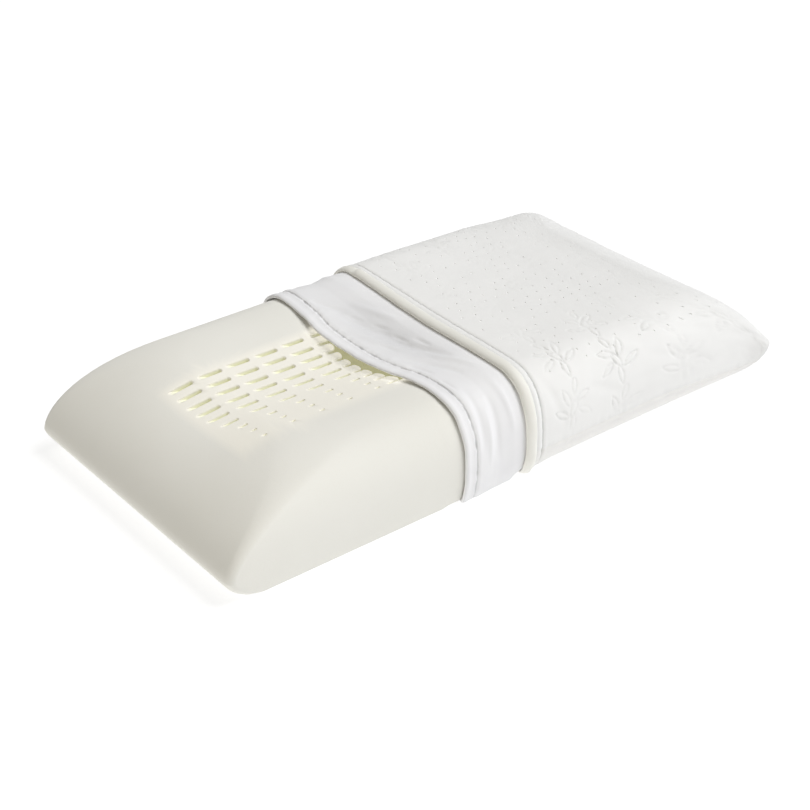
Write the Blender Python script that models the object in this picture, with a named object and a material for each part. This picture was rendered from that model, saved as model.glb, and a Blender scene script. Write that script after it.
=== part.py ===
"""A bed pillow lying flat, with both covers drawn back from one end so that its layers show.

Units are metres and +Z is up. X runs along the pillow, from the bare foam end to the covered end,
and -Y is the front. The pillow rests on z = 0, and the origin is under the middle of its outline.

Every layer is one family of rings. A ring is a rounded rectangle at some height: the widest one is
low on the side, the rings above it draw in to the plateau, and those below draw in to the foot.
Each layer is the foam's own surface grown outward by a few millimetres, so the layers nest.
"""
import math

import bmesh
import bpy
import numpy as np

MM = 0.001

# Foam core
FOAM_LEFT = 0.400            # middle of the pillow to the bare end
FOAM_RIGHT = 0.3919          # middle of the pillow to the covered end
FOAM_WIDTH = 0.3856
FOAM_HEIGHT = 0.1140
WIDEST_HEIGHT = 0.030        # the widest line is low on the side
END_INSET_BARE = 0.145       # the plateau stands back this far from the bare end
END_INSET_COVERED = 0.107    # and this far from the covered end
END_POWER = 1.56             # a higher power gives a squarer shoulder
SIDE_INSET = 0.066
SIDE_POWER = 2.69
FOOT_END_INSET = 0.031       # the foot stands back under the widest line
FOOT_SIDE_BARE = 0.005
FOOT_SIDE_COVERED = 0.018    # the fitted cover pulls the lower edge round
FOOT_POWER = 1.5
CORNER_RADIUS = 0.010        # plan corner at the widest line
CORNER_SPREAD_BARE = 1.2     # the plan corner opens by this share of the inset
CORNER_SPREAD_COVERED = 0.2
DISH_HALF_WIDTH = 0.130
DISH_BARE = 0.014            # depth of the hollow along the bare foam's top
DISH_COVERED = 0.003
DISH_FADE = (-0.400, -0.270)  # the hollow runs out over the bare end

# Vent wells in the foam's top
WELL_ROWS = 9
WELL_COLUMNS = 5
WELL_PITCH_X = 0.038
WELL_PITCH_Y = 0.0181
WELL_LENGTH = 0.029
WELL_WIDTH_BACK = 0.0085
WELL_WIDTH_FRONT = 0.0065
WELL_FIRST_END_X = -0.274    # right tip of the first well in each row
WELL_BACK_Y = 0.0620         # middle of the rearmost row
WELL_DEPTH_LEFT = 0.004      # each floor slopes down to the right
WELL_DEPTH_RIGHT = 0.015
TRENCH_FINGER_X = -0.100     # the foam ribs end here, over the trench
TRENCH_RIGHT_X = -0.078
TRENCH_DEPTH = 0.022
FINGER_BOW = 0.006           # the middle ribs reach further left than the outer ones
RIB_TIP = 0.004              # length of a rib's rounded tip
CUT_CLEAR = 0.005            # the cuts start this far above the foam

# Inner cover: a knitted sleeve, its hem folded back at the mouth
HEM_X = -0.095
HEM_SLANT = -0.020           # run in X for each metre of Y
HEM_BOW = -0.012             # the hem springs forward over the hollow
HEM_BOW_HALF_WIDTH = 0.085
HEM_BOW_RUN = (-0.120, -0.095, -0.078, -0.043)   # the bow grows from the first, full between the middle two
ROLL_X = 0.011               # middle of the rolled edge
ROLL_SLANT = 0.034
JERSEY = 1.5 * MM

# Outer cover: a quilted knit, top and bottom panels joined low on the side
KNIT = 2.2 * MM
ROLL_HALF_WIDTH = 6.0 * MM
PANEL_EDGE_GAP = 0.4 * MM
TOUCH = 0.3 * MM             # gap between pieces that touch
SEAM_GAP = 0.6 * MM          # gap between the two panels, whose edges curve
OUTER_GROW = 4.0 * MM        # inner face of the outer cover, out from the foam
ROLL_GROW_IN = 3.6 * MM
ROLL_GROW_OUT = 8.8 * MM
DRAW_IN = 0.009              # the covered end bows in between its corners
DRAW_IN_START = 0.29
SEAM_DROP = 0.012            # the seam dips towards the covered corners
SEAM_DROP_START = 0.20
EAR_PUSH = 0.0050            # the covered corners stand out as soft points
EAR_LOW = 0.008
EAR_PEAK = 0.030
EAR_HIGH = 0.100

# Rings up the side: foot to widest line, then widest line to plateau
FOOT_STEPS = (1.0, 0.62, 0.28)
RISE_STEPS = (0.0, 0.10, 0.30, 0.52, 0.72, 0.87, 0.965, 1.0)
SEAM_RING = len(FOOT_STEPS)
TOP_RING = len(FOOT_STEPS) + len(RISE_STEPS) - 1
ROWS = 12                    # cells across the plateau
ARC_CELLS = 5                # cells round a plan corner
RUN_CELLS = 3                # cells from a plan corner to the middle stretch
MIDDLE_HALF = 0.150          # the middle stretch has its columns at fixed places
BARE_COLUMNS = (-0.134,)
COVERED_COLUMNS = (0.090, 0.120)

# Distances behind the hem at which the inner cover changes, and what it does there.
# grow: inner face out from the foam; cloth: thickness; dish: depth of the hollow under it
HEM_TABLE = (
    # behind,  grow,  cloth, dish
    (0.000, 2.2 * MM, 3.0 * MM, 4.0 * MM),
    (0.004, 2.3 * MM, 3.0 * MM, 4.0 * MM),
    (0.0105, 2.2 * MM, 2.8 * MM, 4.6 * MM),
    (0.013, 1.5 * MM, 1.4 * MM, 5.6 * MM),
    (0.017, 1.9 * MM, 1.5 * MM, 5.2 * MM),
    (0.033, 2.7 * MM, 1.5 * MM, 5.0 * MM),
    (0.052, 1.3 * MM, 1.5 * MM, 6.6 * MM),
    (0.074, 2.3 * MM, 1.5 * MM, 4.0 * MM),
    (0.088, 1.9 * MM, 1.5 * MM, 3.4 * MM),
    (0.098, 1.7 * MM, 1.5 * MM, 2.8 * MM),
)
# The outer cover behind the rolled edge: a stitched crease, then a soft swell
MOUTH_TABLE = (
    # behind, swell, dish
    (0.000, 0.0 * MM, 1.6 * MM),
    (0.007, 0.7 * MM, 1.6 * MM),
    (0.011, -0.1 * MM, 1.8 * MM),
    (0.016, 0.7 * MM, 1.6 * MM),
    (0.045, 0.8 * MM, 1.4 * MM),
    (0.120, 0.4 * MM, 1.4 * MM),
)
STEP_UNDER_HEM = (-0.120, -0.108)    # the foam's underside steps up here, over the sleeve
STEP_UNDER_MOUTH = (-0.014, -0.004)  # and again here, over the outer cover
FOOT_ROUNDS = (-0.040, 0.060)        # the lower edge turns from crisp to round along here

PANEL_X = ROLL_X + ROLL_HALF_WIDTH + PANEL_EDGE_GAP


def middle_columns():
    """The fixed columns of the middle stretch, closer together where the hems are."""
    stations = [-MIDDLE_HALF, *BARE_COLUMNS, *STEP_UNDER_HEM]
    stations += [HEM_X + row[0] for row in HEM_TABLE[:-2]]
    stations += [*STEP_UNDER_MOUTH, ROLL_X]
    stations += [PANEL_X + row[0] for row in MOUTH_TABLE[:-1]]
    stations += [*COVERED_COLUMNS, MIDDLE_HALF]
    return stations


def all_columns():
    """Every column from the bare end to the covered end, as kind, end sign and place."""
    arcs = [("arc", 90.0 * step / ARC_CELLS) for step in range(ARC_CELLS + 1)]
    runs = [("run", 1.0 - step / RUN_CELLS) for step in range(1, RUN_CELLS)]
    left = [(kind, -1, place) for kind, place in arcs + runs]
    right = [(kind, 1, place) for kind, place in reversed(arcs + runs)]
    return left + [("middle", 0, x) for x in middle_columns()] + right


COLUMNS = all_columns()
LAST = len(COLUMNS) - 1


def column_at(x):
    """Number of the middle column at a given x."""
    return COLUMNS.index(("middle", 0, x))


HEM_COLUMN = column_at(HEM_X)
ROLL_COLUMN = column_at(ROLL_X)
PANEL_COLUMN = column_at(PANEL_X)


def smooth(value, start, stop):
    """0 before start, 1 after stop, and an even rise between them."""
    share = min(1.0, max(0.0, (value - start) / (stop - start)))
    return share * share * (3.0 - 2.0 * share)


def inset(share, power):
    """0 at the widest line and 1 at the far edge of the shoulder, round in between."""
    return 1.0 - (1.0 - share ** power) ** (1.0 / power)


def ring_shape(ring, station):
    """Height as a share of the rise, and the end and side insets, of one ring."""
    end_inset = END_INSET_BARE if station < 0 else END_INSET_COVERED
    if ring < SEAM_RING:
        round_foot = inset(FOOT_STEPS[ring], FOOT_POWER)
        foot_side = FOOT_SIDE_BARE + (FOOT_SIDE_COVERED - FOOT_SIDE_BARE) * smooth(station, *FOOT_ROUNDS)
        return -FOOT_STEPS[ring], FOOT_END_INSET * round_foot, foot_side * round_foot
    up = RISE_STEPS[ring - SEAM_RING]
    return up, end_inset * inset(up, END_POWER), SIDE_INSET * inset(up, SIDE_POWER)


def interpolate(table, column, place):
    """Read one column of a table at a place in its first column."""
    return float(np.interp(place, [row[0] for row in table], [row[column] for row in table]))


def foam_layer(station):
    """The foam: no growth, its hollow, and the steps in its underside over the covers."""
    dish = DISH_BARE + (DISH_COVERED - DISH_BARE) * smooth(station, HEM_X, 0.030)
    base = (JERSEY + TOUCH) * smooth(station, *STEP_UNDER_HEM)
    base += (KNIT + TOUCH) * smooth(station, *STEP_UNDER_MOUTH)
    return 0.0, dish, base


def jersey_inside(station):
    """Inner face of the inner cover."""
    behind = station - HEM_X
    base = JERSEY + (KNIT + TOUCH) * smooth(station, *STEP_UNDER_MOUTH)
    return interpolate(HEM_TABLE, 1, behind), interpolate(HEM_TABLE, 3, behind), base


def jersey_outside(station):
    """Outer face of the inner cover."""
    grow, dish, base = jersey_inside(station)
    return grow + interpolate(HEM_TABLE, 2, station - HEM_X), dish, base - JERSEY


def knit_inside(station):
    """Inner face of the outer cover."""
    behind = station - PANEL_X
    swell = max(0.0, interpolate(MOUTH_TABLE, 1, behind))
    return OUTER_GROW + swell, interpolate(MOUTH_TABLE, 2, behind), KNIT


def knit_outside(station):
    """Outer face of the outer cover."""
    behind = station - PANEL_X
    swell = interpolate(MOUTH_TABLE, 1, behind)
    return OUTER_GROW + KNIT + swell, interpolate(MOUTH_TABLE, 2, behind), 0.0


def roll_inside(station):
    """Side of the rolled edge that faces the inner cover."""
    return ROLL_GROW_IN, jersey_outside(station)[1], KNIT


def roll_outside(station):
    """Outer side of the rolled edge."""
    return ROLL_GROW_OUT, jersey_outside(station)[1], 0.0


def hem_shift(station, y, on_top):
    """How far a middle column leans and bows away from its station, at a given y."""
    lean = float(np.interp(station, (-MIDDLE_HALF, HEM_X, ROLL_X, MIDDLE_HALF),
                           (0.0, HEM_SLANT, ROLL_SLANT, 0.0)))
    bow = float(np.interp(station, HEM_BOW_RUN, (0.0, 1.0, 1.0, 0.0)))
    across = math.exp(-(y / HEM_BOW_HALF_WIDTH) ** 4) if on_top else 0.0
    return lean * y + HEM_BOW * bow * across


def plan_point(column, row, shape, grow, on_top=False):
    """A point of a ring, or of the plateau inside it, seen from above; row runs from -1 to 1."""
    kind, sign, place = COLUMNS[column]
    end_inset, side_inset = shape
    reach = (FOAM_LEFT if sign < 0 else FOAM_RIGHT) - end_inset + grow
    half_width = FOAM_WIDTH / 2 - side_inset + grow
    spread = CORNER_SPREAD_BARE if sign < 0 else CORNER_SPREAD_COVERED
    radius = CORNER_RADIUS + spread * min(end_inset, side_inset) + grow
    if kind == "middle":
        y = row * half_width
        return place + hem_shift(place, y, on_top), y
    if kind == "run":
        return sign * (MIDDLE_HALF + (reach - radius - MIDDLE_HALF) * place), row * half_width
    angle = math.radians(place)
    x = sign * (reach - radius + radius * math.cos(angle))
    return x, row * (half_width - radius + radius * math.sin(angle))


def station_of(column):
    """The place along X that decides a column's growth, hollow and underside."""
    kind, sign, place = COLUMNS[column]
    return place if kind == "middle" else sign * MIDDLE_HALF


def settle(x, y, z, top, base):
    """Draw the covered end in, dip its seam, and lift the underside to its own base."""
    drop = SEAM_DROP * smooth(x, SEAM_DROP_START, FOAM_RIGHT)
    z -= drop * (z / WIDEST_HEIGHT if z < WIDEST_HEIGHT else (top - z) / (top - WIDEST_HEIGHT))
    across = min(1.0, abs(y) / (FOAM_WIDTH / 2))
    x -= DRAW_IN * (1.0 - across ** 2) * smooth(x, DRAW_IN_START, FOAM_RIGHT)
    return x, y, base + z * (top - base) / top


def dish_drop(x, y, rise):
    """Share of the hollow's depth at a place on the top: all of it along the middle of the plateau."""
    across = math.cos(math.pi / 2 * min(1.0, abs(y) / DISH_HALF_WIDTH)) ** 2
    return across * smooth(x, *DISH_FADE) * max(0.0, rise) ** 2


def surface_point(layer, column, row, ring, seam_gap=0.0):
    """A point of a layer: on a ring when row is -1 or 1, and inside the top or foot ring otherwise."""
    grow, dish, base = layer(station_of(column))
    rise, end_inset, side_inset = ring_shape(ring, station_of(column))
    top = FOAM_HEIGHT + grow
    x, y = plan_point(column, row, (end_inset, side_inset), grow, ring == TOP_RING)
    if rise < 0.0:
        z = WIDEST_HEIGHT * (1.0 + rise)
    else:
        z = WIDEST_HEIGHT + rise * (top - WIDEST_HEIGHT)
    z -= dish * dish_drop(x, y, rise)
    x, y, z = settle(x, y, z, top, base)
    return x, y, z + seam_gap


def push_ears(points):
    """Pull the covered corners out into soft points."""
    corner = FOAM_WIDTH / 2
    pushed = []
    for x, y, z in points:
        near = smooth(x, FOAM_RIGHT - 0.035, FOAM_RIGHT) * smooth(abs(y), corner - 0.035, corner)
        if z < EAR_PEAK:
            near *= smooth(z, EAR_LOW, EAR_PEAK)
        else:
            near *= 1.0 - smooth(z, EAR_PEAK, EAR_HIGH)
        shift = EAR_PUSH * near
        pushed.append((x + shift, y + math.copysign(shift, y), z))
    return pushed


def skin(layer, first, rings, gap_ring=None, gap=0.0):
    """Points and faces of one face of a layer, from a column to the covered end, and a span of rings."""
    points = []
    number = {}

    def point(column, row_index, ring):
        """Number of a point, made when it is first asked for."""
        on_ring = row_index in (0, ROWS)
        at_end = column in (0, LAST)
        key = (column, row_index, ring)
        if key not in number:
            row = -1.0 + 2.0 * row_index / ROWS
            seam_gap = gap if ring == gap_ring and (on_ring or at_end) else 0.0
            number[key] = len(points)
            points.append(surface_point(layer, column, row, ring, seam_gap))
        return number[key]

    faces = []
    low_ring, high_ring = rings
    for ring in range(low_ring, high_ring):
        for column in range(first, LAST):
            for row_index in (0, ROWS):
                faces.append([point(column, row_index, ring), point(column + 1, row_index, ring),
                              point(column + 1, row_index, ring + 1), point(column, row_index, ring + 1)])
        ends = [LAST] if first > 0 else [0, LAST]
        for column in ends:
            for row_index in range(ROWS):
                faces.append([point(column, row_index, ring), point(column, row_index + 1, ring),
                              point(column, row_index + 1, ring + 1), point(column, row_index, ring + 1)])
    if high_ring == TOP_RING:
        for column in range(first, LAST):
            for row_index in range(ROWS):
                faces.append([point(column, row_index, TOP_RING), point(column + 1, row_index, TOP_RING),
                              point(column + 1, row_index + 1, TOP_RING), point(column, row_index + 1, TOP_RING)])
    if low_ring == 0:
        for column in range(first, LAST):
            near = range(ROWS + 1) if column == 0 else (0, ROWS)
            far = range(ROWS + 1) if column + 1 == LAST else (0, ROWS)
            faces.append([point(column, row_index, 0) for row_index in near]
                         + [point(column + 1, row_index, 0) for row_index in reversed(far)])
    return points, faces


def boundary(faces):
    """Edges that only one face uses, in that face's direction."""
    seen = {}
    for face in faces:
        for start, stop in zip(face, face[1:] + face[:1]):
            seen.setdefault(frozenset((start, stop)), []).append((start, stop))
    return [uses[0] for uses in seen.values() if len(uses) == 1]


def make_object(name, points, faces, material):
    """Make a mesh object with its faces pointing out, smooth but for its sharp edges."""
    mesh = bpy.data.meshes.new(name)
    shape = bmesh.new()
    corners = [shape.verts.new(point) for point in points]
    for face in faces:
        shape.faces.new([corners[index] for index in face])
    bmesh.ops.recalc_face_normals(shape, faces=shape.faces)
    shape.to_mesh(mesh)
    shape.free()
    mesh.shade_smooth()
    mesh.set_sharp_from_angle(angle=math.radians(50))
    piece = bpy.data.objects.new(name, mesh)
    bpy.context.collection.objects.link(piece)
    if material is not None:
        mesh.materials.append(material)
    return piece


def make_sheet(name, outside, inside, first, rings, material, gap_ring=None, gap=0.0, ears=False):
    """A closed sheet between two faces of a layer, with its edges joined."""
    outer_points, faces = skin(outside, first, rings, gap_ring, gap)
    inner_points, _ = skin(inside, first, rings, gap_ring, gap)
    if ears:
        outer_points = push_ears(outer_points)
        inner_points = push_ears(inner_points)
    count = len(outer_points)
    back = [[index + count for index in reversed(face)] for face in faces]
    rim = [[stop, start, start + count, stop + count] for start, stop in boundary(faces)]
    return make_object(name, outer_points + inner_points, faces + back + rim, material)


def make_material(name, colour, roughness):
    """A plain surface with one colour."""
    material = bpy.data.materials.new(name)
    material.use_nodes = True
    shader = material.node_tree.nodes["Principled BSDF"]
    shader.inputs["Base Color"].default_value = (*colour, 1.0)
    shader.inputs["Roughness"].default_value = roughness
    shader.inputs["Metallic"].default_value = 0.0
    return material


def foam_top(x, y):
    """Height of the bare foam's top at a place on the plateau or on its end shoulder."""
    end_inset = min(END_INSET_BARE, FOAM_LEFT - abs(x))
    rise = (1.0 - (1.0 - end_inset / END_INSET_BARE) ** END_POWER) ** (1.0 / END_POWER)
    crown = WIDEST_HEIGHT + rise * (FOAM_HEIGHT - WIDEST_HEIGHT)
    return crown - foam_layer(x)[1] * dish_drop(x, y, rise)


def half_round(centre_x, centre_y, half_length, half_width, turn):
    """Four points round one tip of a slot or rib, from its near side to its far side."""
    tip = []
    for angle in (-90, -30, 30, 90):
        x = centre_x + turn * half_length * math.cos(math.radians(angle))
        y = centre_y + turn * half_width * math.sin(math.radians(angle))
        tip.append((x, y))
    return tip


def prism(outline, floor, ceiling):
    """Points and faces of an upright prism on a plan outline, with its floor from a function."""
    count = len(outline)
    points = [(x, y, floor(x, y)) for x, y in outline] + [(x, y, ceiling) for x, y in outline]
    faces = [list(range(count)), list(range(count, 2 * count))]
    for index in range(count):
        after = (index + 1) % count
        faces.append([index, after, after + count, index + count])
    return points, faces


def well_row(row):
    """Middle line and width of one row of wells."""
    share = row / (WELL_ROWS - 1)
    return WELL_BACK_Y - WELL_PITCH_Y * row, WELL_WIDTH_BACK + (WELL_WIDTH_FRONT - WELL_WIDTH_BACK) * share


def well_prism(row, column):
    """One vent well: a slot with round tips whose floor slopes down to the right."""
    y, width = well_row(row)
    right = WELL_FIRST_END_X + WELL_PITCH_X * column
    left = right - WELL_LENGTH
    radius = width / 2
    outline = half_round(right - radius, y, radius, radius, 1) + half_round(left + radius, y, radius, radius, -1)
    left_floor = foam_top(left, y) - WELL_DEPTH_LEFT
    right_floor = foam_top(right, y) - WELL_DEPTH_RIGHT

    def floor(x, _):
        return left_floor + (right_floor - left_floor) * (x - left) / WELL_LENGTH

    return prism(outline, floor, FOAM_HEIGHT + CUT_CLEAR)


def trench_prism():
    """The trench across the ribs' ends, with a short open well between each two ribs."""
    left = WELL_FIRST_END_X + WELL_PITCH_X * WELL_COLUMNS - WELL_LENGTH
    outline = []
    for row in range(WELL_ROWS):
        y, width = well_row(row)
        middle = (row - (WELL_ROWS - 1) / 2) / ((WELL_ROWS - 1) / 2)
        bow = FINGER_BOW * (1.0 - middle ** 2)
        radius = width / 2
        slot = half_round(left + radius - bow, y, radius, radius, -1)
        if row > 0:
            y_before, width_before = well_row(row - 1)
            rib_back = y_before - width_before / 2
            rib_front = y + radius
            rib = half_round(TRENCH_FINGER_X - bow, (rib_back + rib_front) / 2, RIB_TIP,
                             (rib_back - rib_front) / 2, 1)
            outline += reversed(rib[1:-1])
        outline += slot
    back_y, back_width = well_row(0)
    front_y, front_width = well_row(WELL_ROWS - 1)
    outline.append((TRENCH_RIGHT_X, front_y - front_width / 2))
    outline.append((TRENCH_RIGHT_X, back_y + back_width / 2))
    middle_y = (back_y + front_y) / 2
    floor_z = foam_top(TRENCH_RIGHT_X, middle_y) - TRENCH_DEPTH
    return prism(outline, lambda x, y: floor_z, FOAM_HEIGHT + CUT_CLEAR)


def make_foam(material):
    """The foam core, with its wells and its trench cut by one hidden cutter."""
    points, faces = skin(foam_layer, 0, (0, TOP_RING))
    foam = make_object("foam_core", points, faces, material)
    prisms = [well_prism(row, column) for row in range(WELL_ROWS) for column in range(WELL_COLUMNS)]
    prisms.append(trench_prism())
    cut_points = []
    cut_faces = []
    for prism_points, prism_faces in prisms:
        start = len(cut_points)
        cut_points += prism_points
        cut_faces += [[index + start for index in face] for face in prism_faces]
    cutter = make_object("well_cutter", cut_points, cut_faces, None)
    cutter.hide_render = True
    cutter.display_type = "WIRE"
    cut = foam.modifiers.new("vent wells", "BOOLEAN")
    cut.operation = "DIFFERENCE"
    cut.solver = "EXACT"
    cut.object = cutter


def make_roll(material):
    """The rolled edge: a soft oval bar round the pillow at the outer cover's mouth."""
    path = [(0, ring) for ring in range(TOP_RING + 1)]
    path += [(row_index, TOP_RING) for row_index in range(1, ROWS)]
    path += [(ROWS, ring) for ring in range(TOP_RING, -1, -1)]
    path += [(row_index, 0) for row_index in range(ROWS - 1, 0, -1)]
    sides = 8
    flat = math.cos(math.pi / sides)
    points = []
    for row_index, ring in path:
        row = -1.0 + 2.0 * row_index / ROWS
        inner = np.array(surface_point(roll_inside, ROLL_COLUMN, row, ring))
        outer = np.array(surface_point(roll_outside, ROLL_COLUMN, row, ring))
        middle = (inner + outer) / 2
        depth = (outer - inner) / 2 / flat
        width = np.array((ROLL_HALF_WIDTH / flat, 0.0, 0.0))
        for side in range(sides):
            angle = 2 * math.pi * (side + 0.5) / sides
            points.append(tuple(middle + width * math.cos(angle) + depth * math.sin(angle)))
    faces = []
    count = len(path)
    for step in range(count):
        start = step * sides
        after = (step + 1) % count * sides
        for side in range(sides):
            turn = (side + 1) % sides
            faces.append([start + side, start + turn, after + turn, after + side])
    make_object("edge_roll", points, faces, material)


def main():
    """Clear the file and make the pillow's pieces."""
    for thing in list(bpy.data.objects):
        bpy.data.objects.remove(thing, do_unlink=True)
    foam = make_material("foam", (0.80, 0.78, 0.72), 0.85)
    jersey = make_material("jersey", (0.78, 0.78, 0.80), 0.90)
    knit = make_material("quilted knit", (0.82, 0.82, 0.80), 0.90)
    knit_under = make_material("under knit", (0.74, 0.73, 0.69), 0.90)
    cream = make_material("cream edge", (0.86, 0.84, 0.78), 0.80)
    make_foam(foam)
    make_sheet("inner_cover", jersey_outside, jersey_inside, HEM_COLUMN, (0, TOP_RING), jersey)
    make_sheet("outer_cover_top", knit_outside, knit_inside, PANEL_COLUMN, (SEAM_RING, TOP_RING), knit,
               gap_ring=SEAM_RING, gap=SEAM_GAP / 2, ears=True)
    make_sheet("outer_cover_bottom", knit_outside, knit_inside, PANEL_COLUMN, (0, SEAM_RING), knit_under,
               gap_ring=SEAM_RING, gap=-SEAM_GAP / 2, ears=True)
    make_roll(cream)


main()
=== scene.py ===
# %% [markdown]
# # A bed pillow with its covers drawn back
# The pillow is a moulded foam core inside two knitted covers. Both covers are drawn back from one
# end, so that the layers show in steps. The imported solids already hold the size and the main
# form. This lesson dresses them: each piece starts as a plain box or ring, is cut into cells,
# and is pressed onto the pillow's form by one set of rules, because cloth takes the shape of
# what it lies on.

import math

import bpy
import numpy as np
from mathutils import Matrix, Vector


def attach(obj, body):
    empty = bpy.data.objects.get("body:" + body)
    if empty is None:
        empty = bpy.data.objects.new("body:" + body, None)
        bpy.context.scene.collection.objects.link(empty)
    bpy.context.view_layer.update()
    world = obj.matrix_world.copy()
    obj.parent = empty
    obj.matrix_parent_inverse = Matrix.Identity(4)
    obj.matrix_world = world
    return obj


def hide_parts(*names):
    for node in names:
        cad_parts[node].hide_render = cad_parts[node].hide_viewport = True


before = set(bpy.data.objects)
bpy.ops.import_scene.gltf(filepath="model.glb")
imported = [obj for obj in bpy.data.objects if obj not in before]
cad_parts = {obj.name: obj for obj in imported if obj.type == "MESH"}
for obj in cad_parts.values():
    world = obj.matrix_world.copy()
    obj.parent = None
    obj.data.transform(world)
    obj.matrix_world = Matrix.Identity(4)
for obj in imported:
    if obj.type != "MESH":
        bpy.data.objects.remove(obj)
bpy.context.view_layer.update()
MM = 0.001

# %% [markdown]
# ## The pillow's form
# A soap-shaped pillow is hard to push about by hand, and its covers must follow it exactly. So the
# form is written down once, as a rule from a plain box to the pillow: every level of the box is
# a rounded rectangle, widest low on the side, which draws in to the top and to the foot. A layer
# that lies further out is the same rule with a little more growth.

# %% Sizes of the form, as the solids have them
CORE_LEFT = 0.400
CORE_RIGHT = 0.3919
CORE_HALF_WIDTH = 0.1928
CORE_HEIGHT = 0.1140
WIDEST = 0.030
END_INSET_BARE, END_INSET_COVERED = 0.145, 0.107
END_POWER, END_POWER_COVERED = 1.56, 1.92
SIDE_INSET, SIDE_POWER = 0.066, 2.69
FOOT_END_INSET, FOOT_SIDE_BARE, FOOT_SIDE_COVERED, FOOT_POWER = 0.031, 0.005, 0.018, 1.5
FOOT_ROUNDS = (-0.040, 0.060)
CORNER_RADIUS, CORNER_SPREAD_BARE, CORNER_SPREAD_COVERED = 0.010, 1.2, 0.2
HOLLOW_HALF_WIDTH, HOLLOW_BARE, HOLLOW_COVERED = 0.130, 0.014, 0.003
HOLLOW_FADE = (-0.400, -0.270)
MIDDLE = 0.150
ARC_SHARE = 0.42
HEM_X, HEM_SLANT, HEM_BOW, HEM_BOW_HALF_WIDTH = -0.095, -0.020, -0.012, 0.085
HEM_BOW_RUN = (-0.120, -0.095, -0.078, -0.043)
EDGE_X, EDGE_SLANT, EDGE_HALF_WIDTH = 0.011, 0.034, 6.0 * MM
PANEL_X = EDGE_X + EDGE_HALF_WIDTH + 0.4 * MM
STEP_UNDER_HEM, STEP_UNDER_MOUTH = (-0.120, -0.108), (-0.014, -0.004)
DRAW_IN, DRAW_IN_START = 0.009, 0.29
SEAM_DROP, SEAM_DROP_START = 0.012, 0.20
EAR_PUSH, EAR_LIFT, EAR_REACH, EAR_HEIGHT, EAR_BEYOND = 0.0125, 0.0100, 0.042, 0.033, 6 * MM
EAR_RISE = (0.004, 0.024)
SHOULDER_LEVELS, SHOULDER_RUN = (WIDEST + 0.030, WIDEST + 0.060), (0.20, 0.27)


# %% Small rules used all through
def smooth(value, start, stop):
    """0 before start, 1 after stop, with an even rise between."""
    share = np.clip((value - start) / (stop - start), 0.0, 1.0)
    return share * share * (3.0 - 2.0 * share)


def inset(share, power):
    """0 at the widest line, 1 at the far edge of the shoulder, round in between."""
    share = np.clip(share, 0.0, 1.0)
    return 1.0 - np.clip(1.0 - share ** power, 0.0, 1.0) ** (1.0 / power)


def uneven(place, wave, seed):
    """A soft, uneven line between about -1 and 1, the same at each run."""
    # five waves whose lengths share no measure, so that the line never seems to repeat
    total = np.zeros_like(place, dtype=float)
    for step in range(5):
        pitch = wave * (0.55 + 0.31 * step)
        turn = 1.7 * seed + 2.399 * step * (1 + 0.13 * seed)
        total += np.sin(2 * math.pi * place / pitch + turn) / (1.6 + 0.35 * step)
    return total / 2.0


def hollow_share(x, y, rise):
    """Share of the long hollow's depth at a place on the top."""
    across = np.cos(math.pi / 2 * np.minimum(1.0, np.abs(y) / HOLLOW_HALF_WIDTH)) ** 2
    return across * smooth(x, *HOLLOW_FADE) * np.clip(rise, 0.0, 1.0) ** 2


def hem_shift(station, y, on_top):
    """How far the cloth leans and bows away from its station."""
    lean = np.interp(station, (-MIDDLE, HEM_X, EDGE_X, MIDDLE), (0.0, HEM_SLANT, EDGE_SLANT, 0.0))
    bow = np.interp(station, HEM_BOW_RUN, (0.0, 1.0, 1.0, 0.0))
    return lean * y + HEM_BOW * bow * on_top * np.exp(-(y / HEM_BOW_HALF_WIDTH) ** 4)


# %% [markdown]
# A place in the box becomes a place on the pillow in three steps: its level gives a rounded
# rectangle, its place along the box gives a point on that rectangle, and last the hollow, the
# drawn-in end and the underside are settled.

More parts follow.
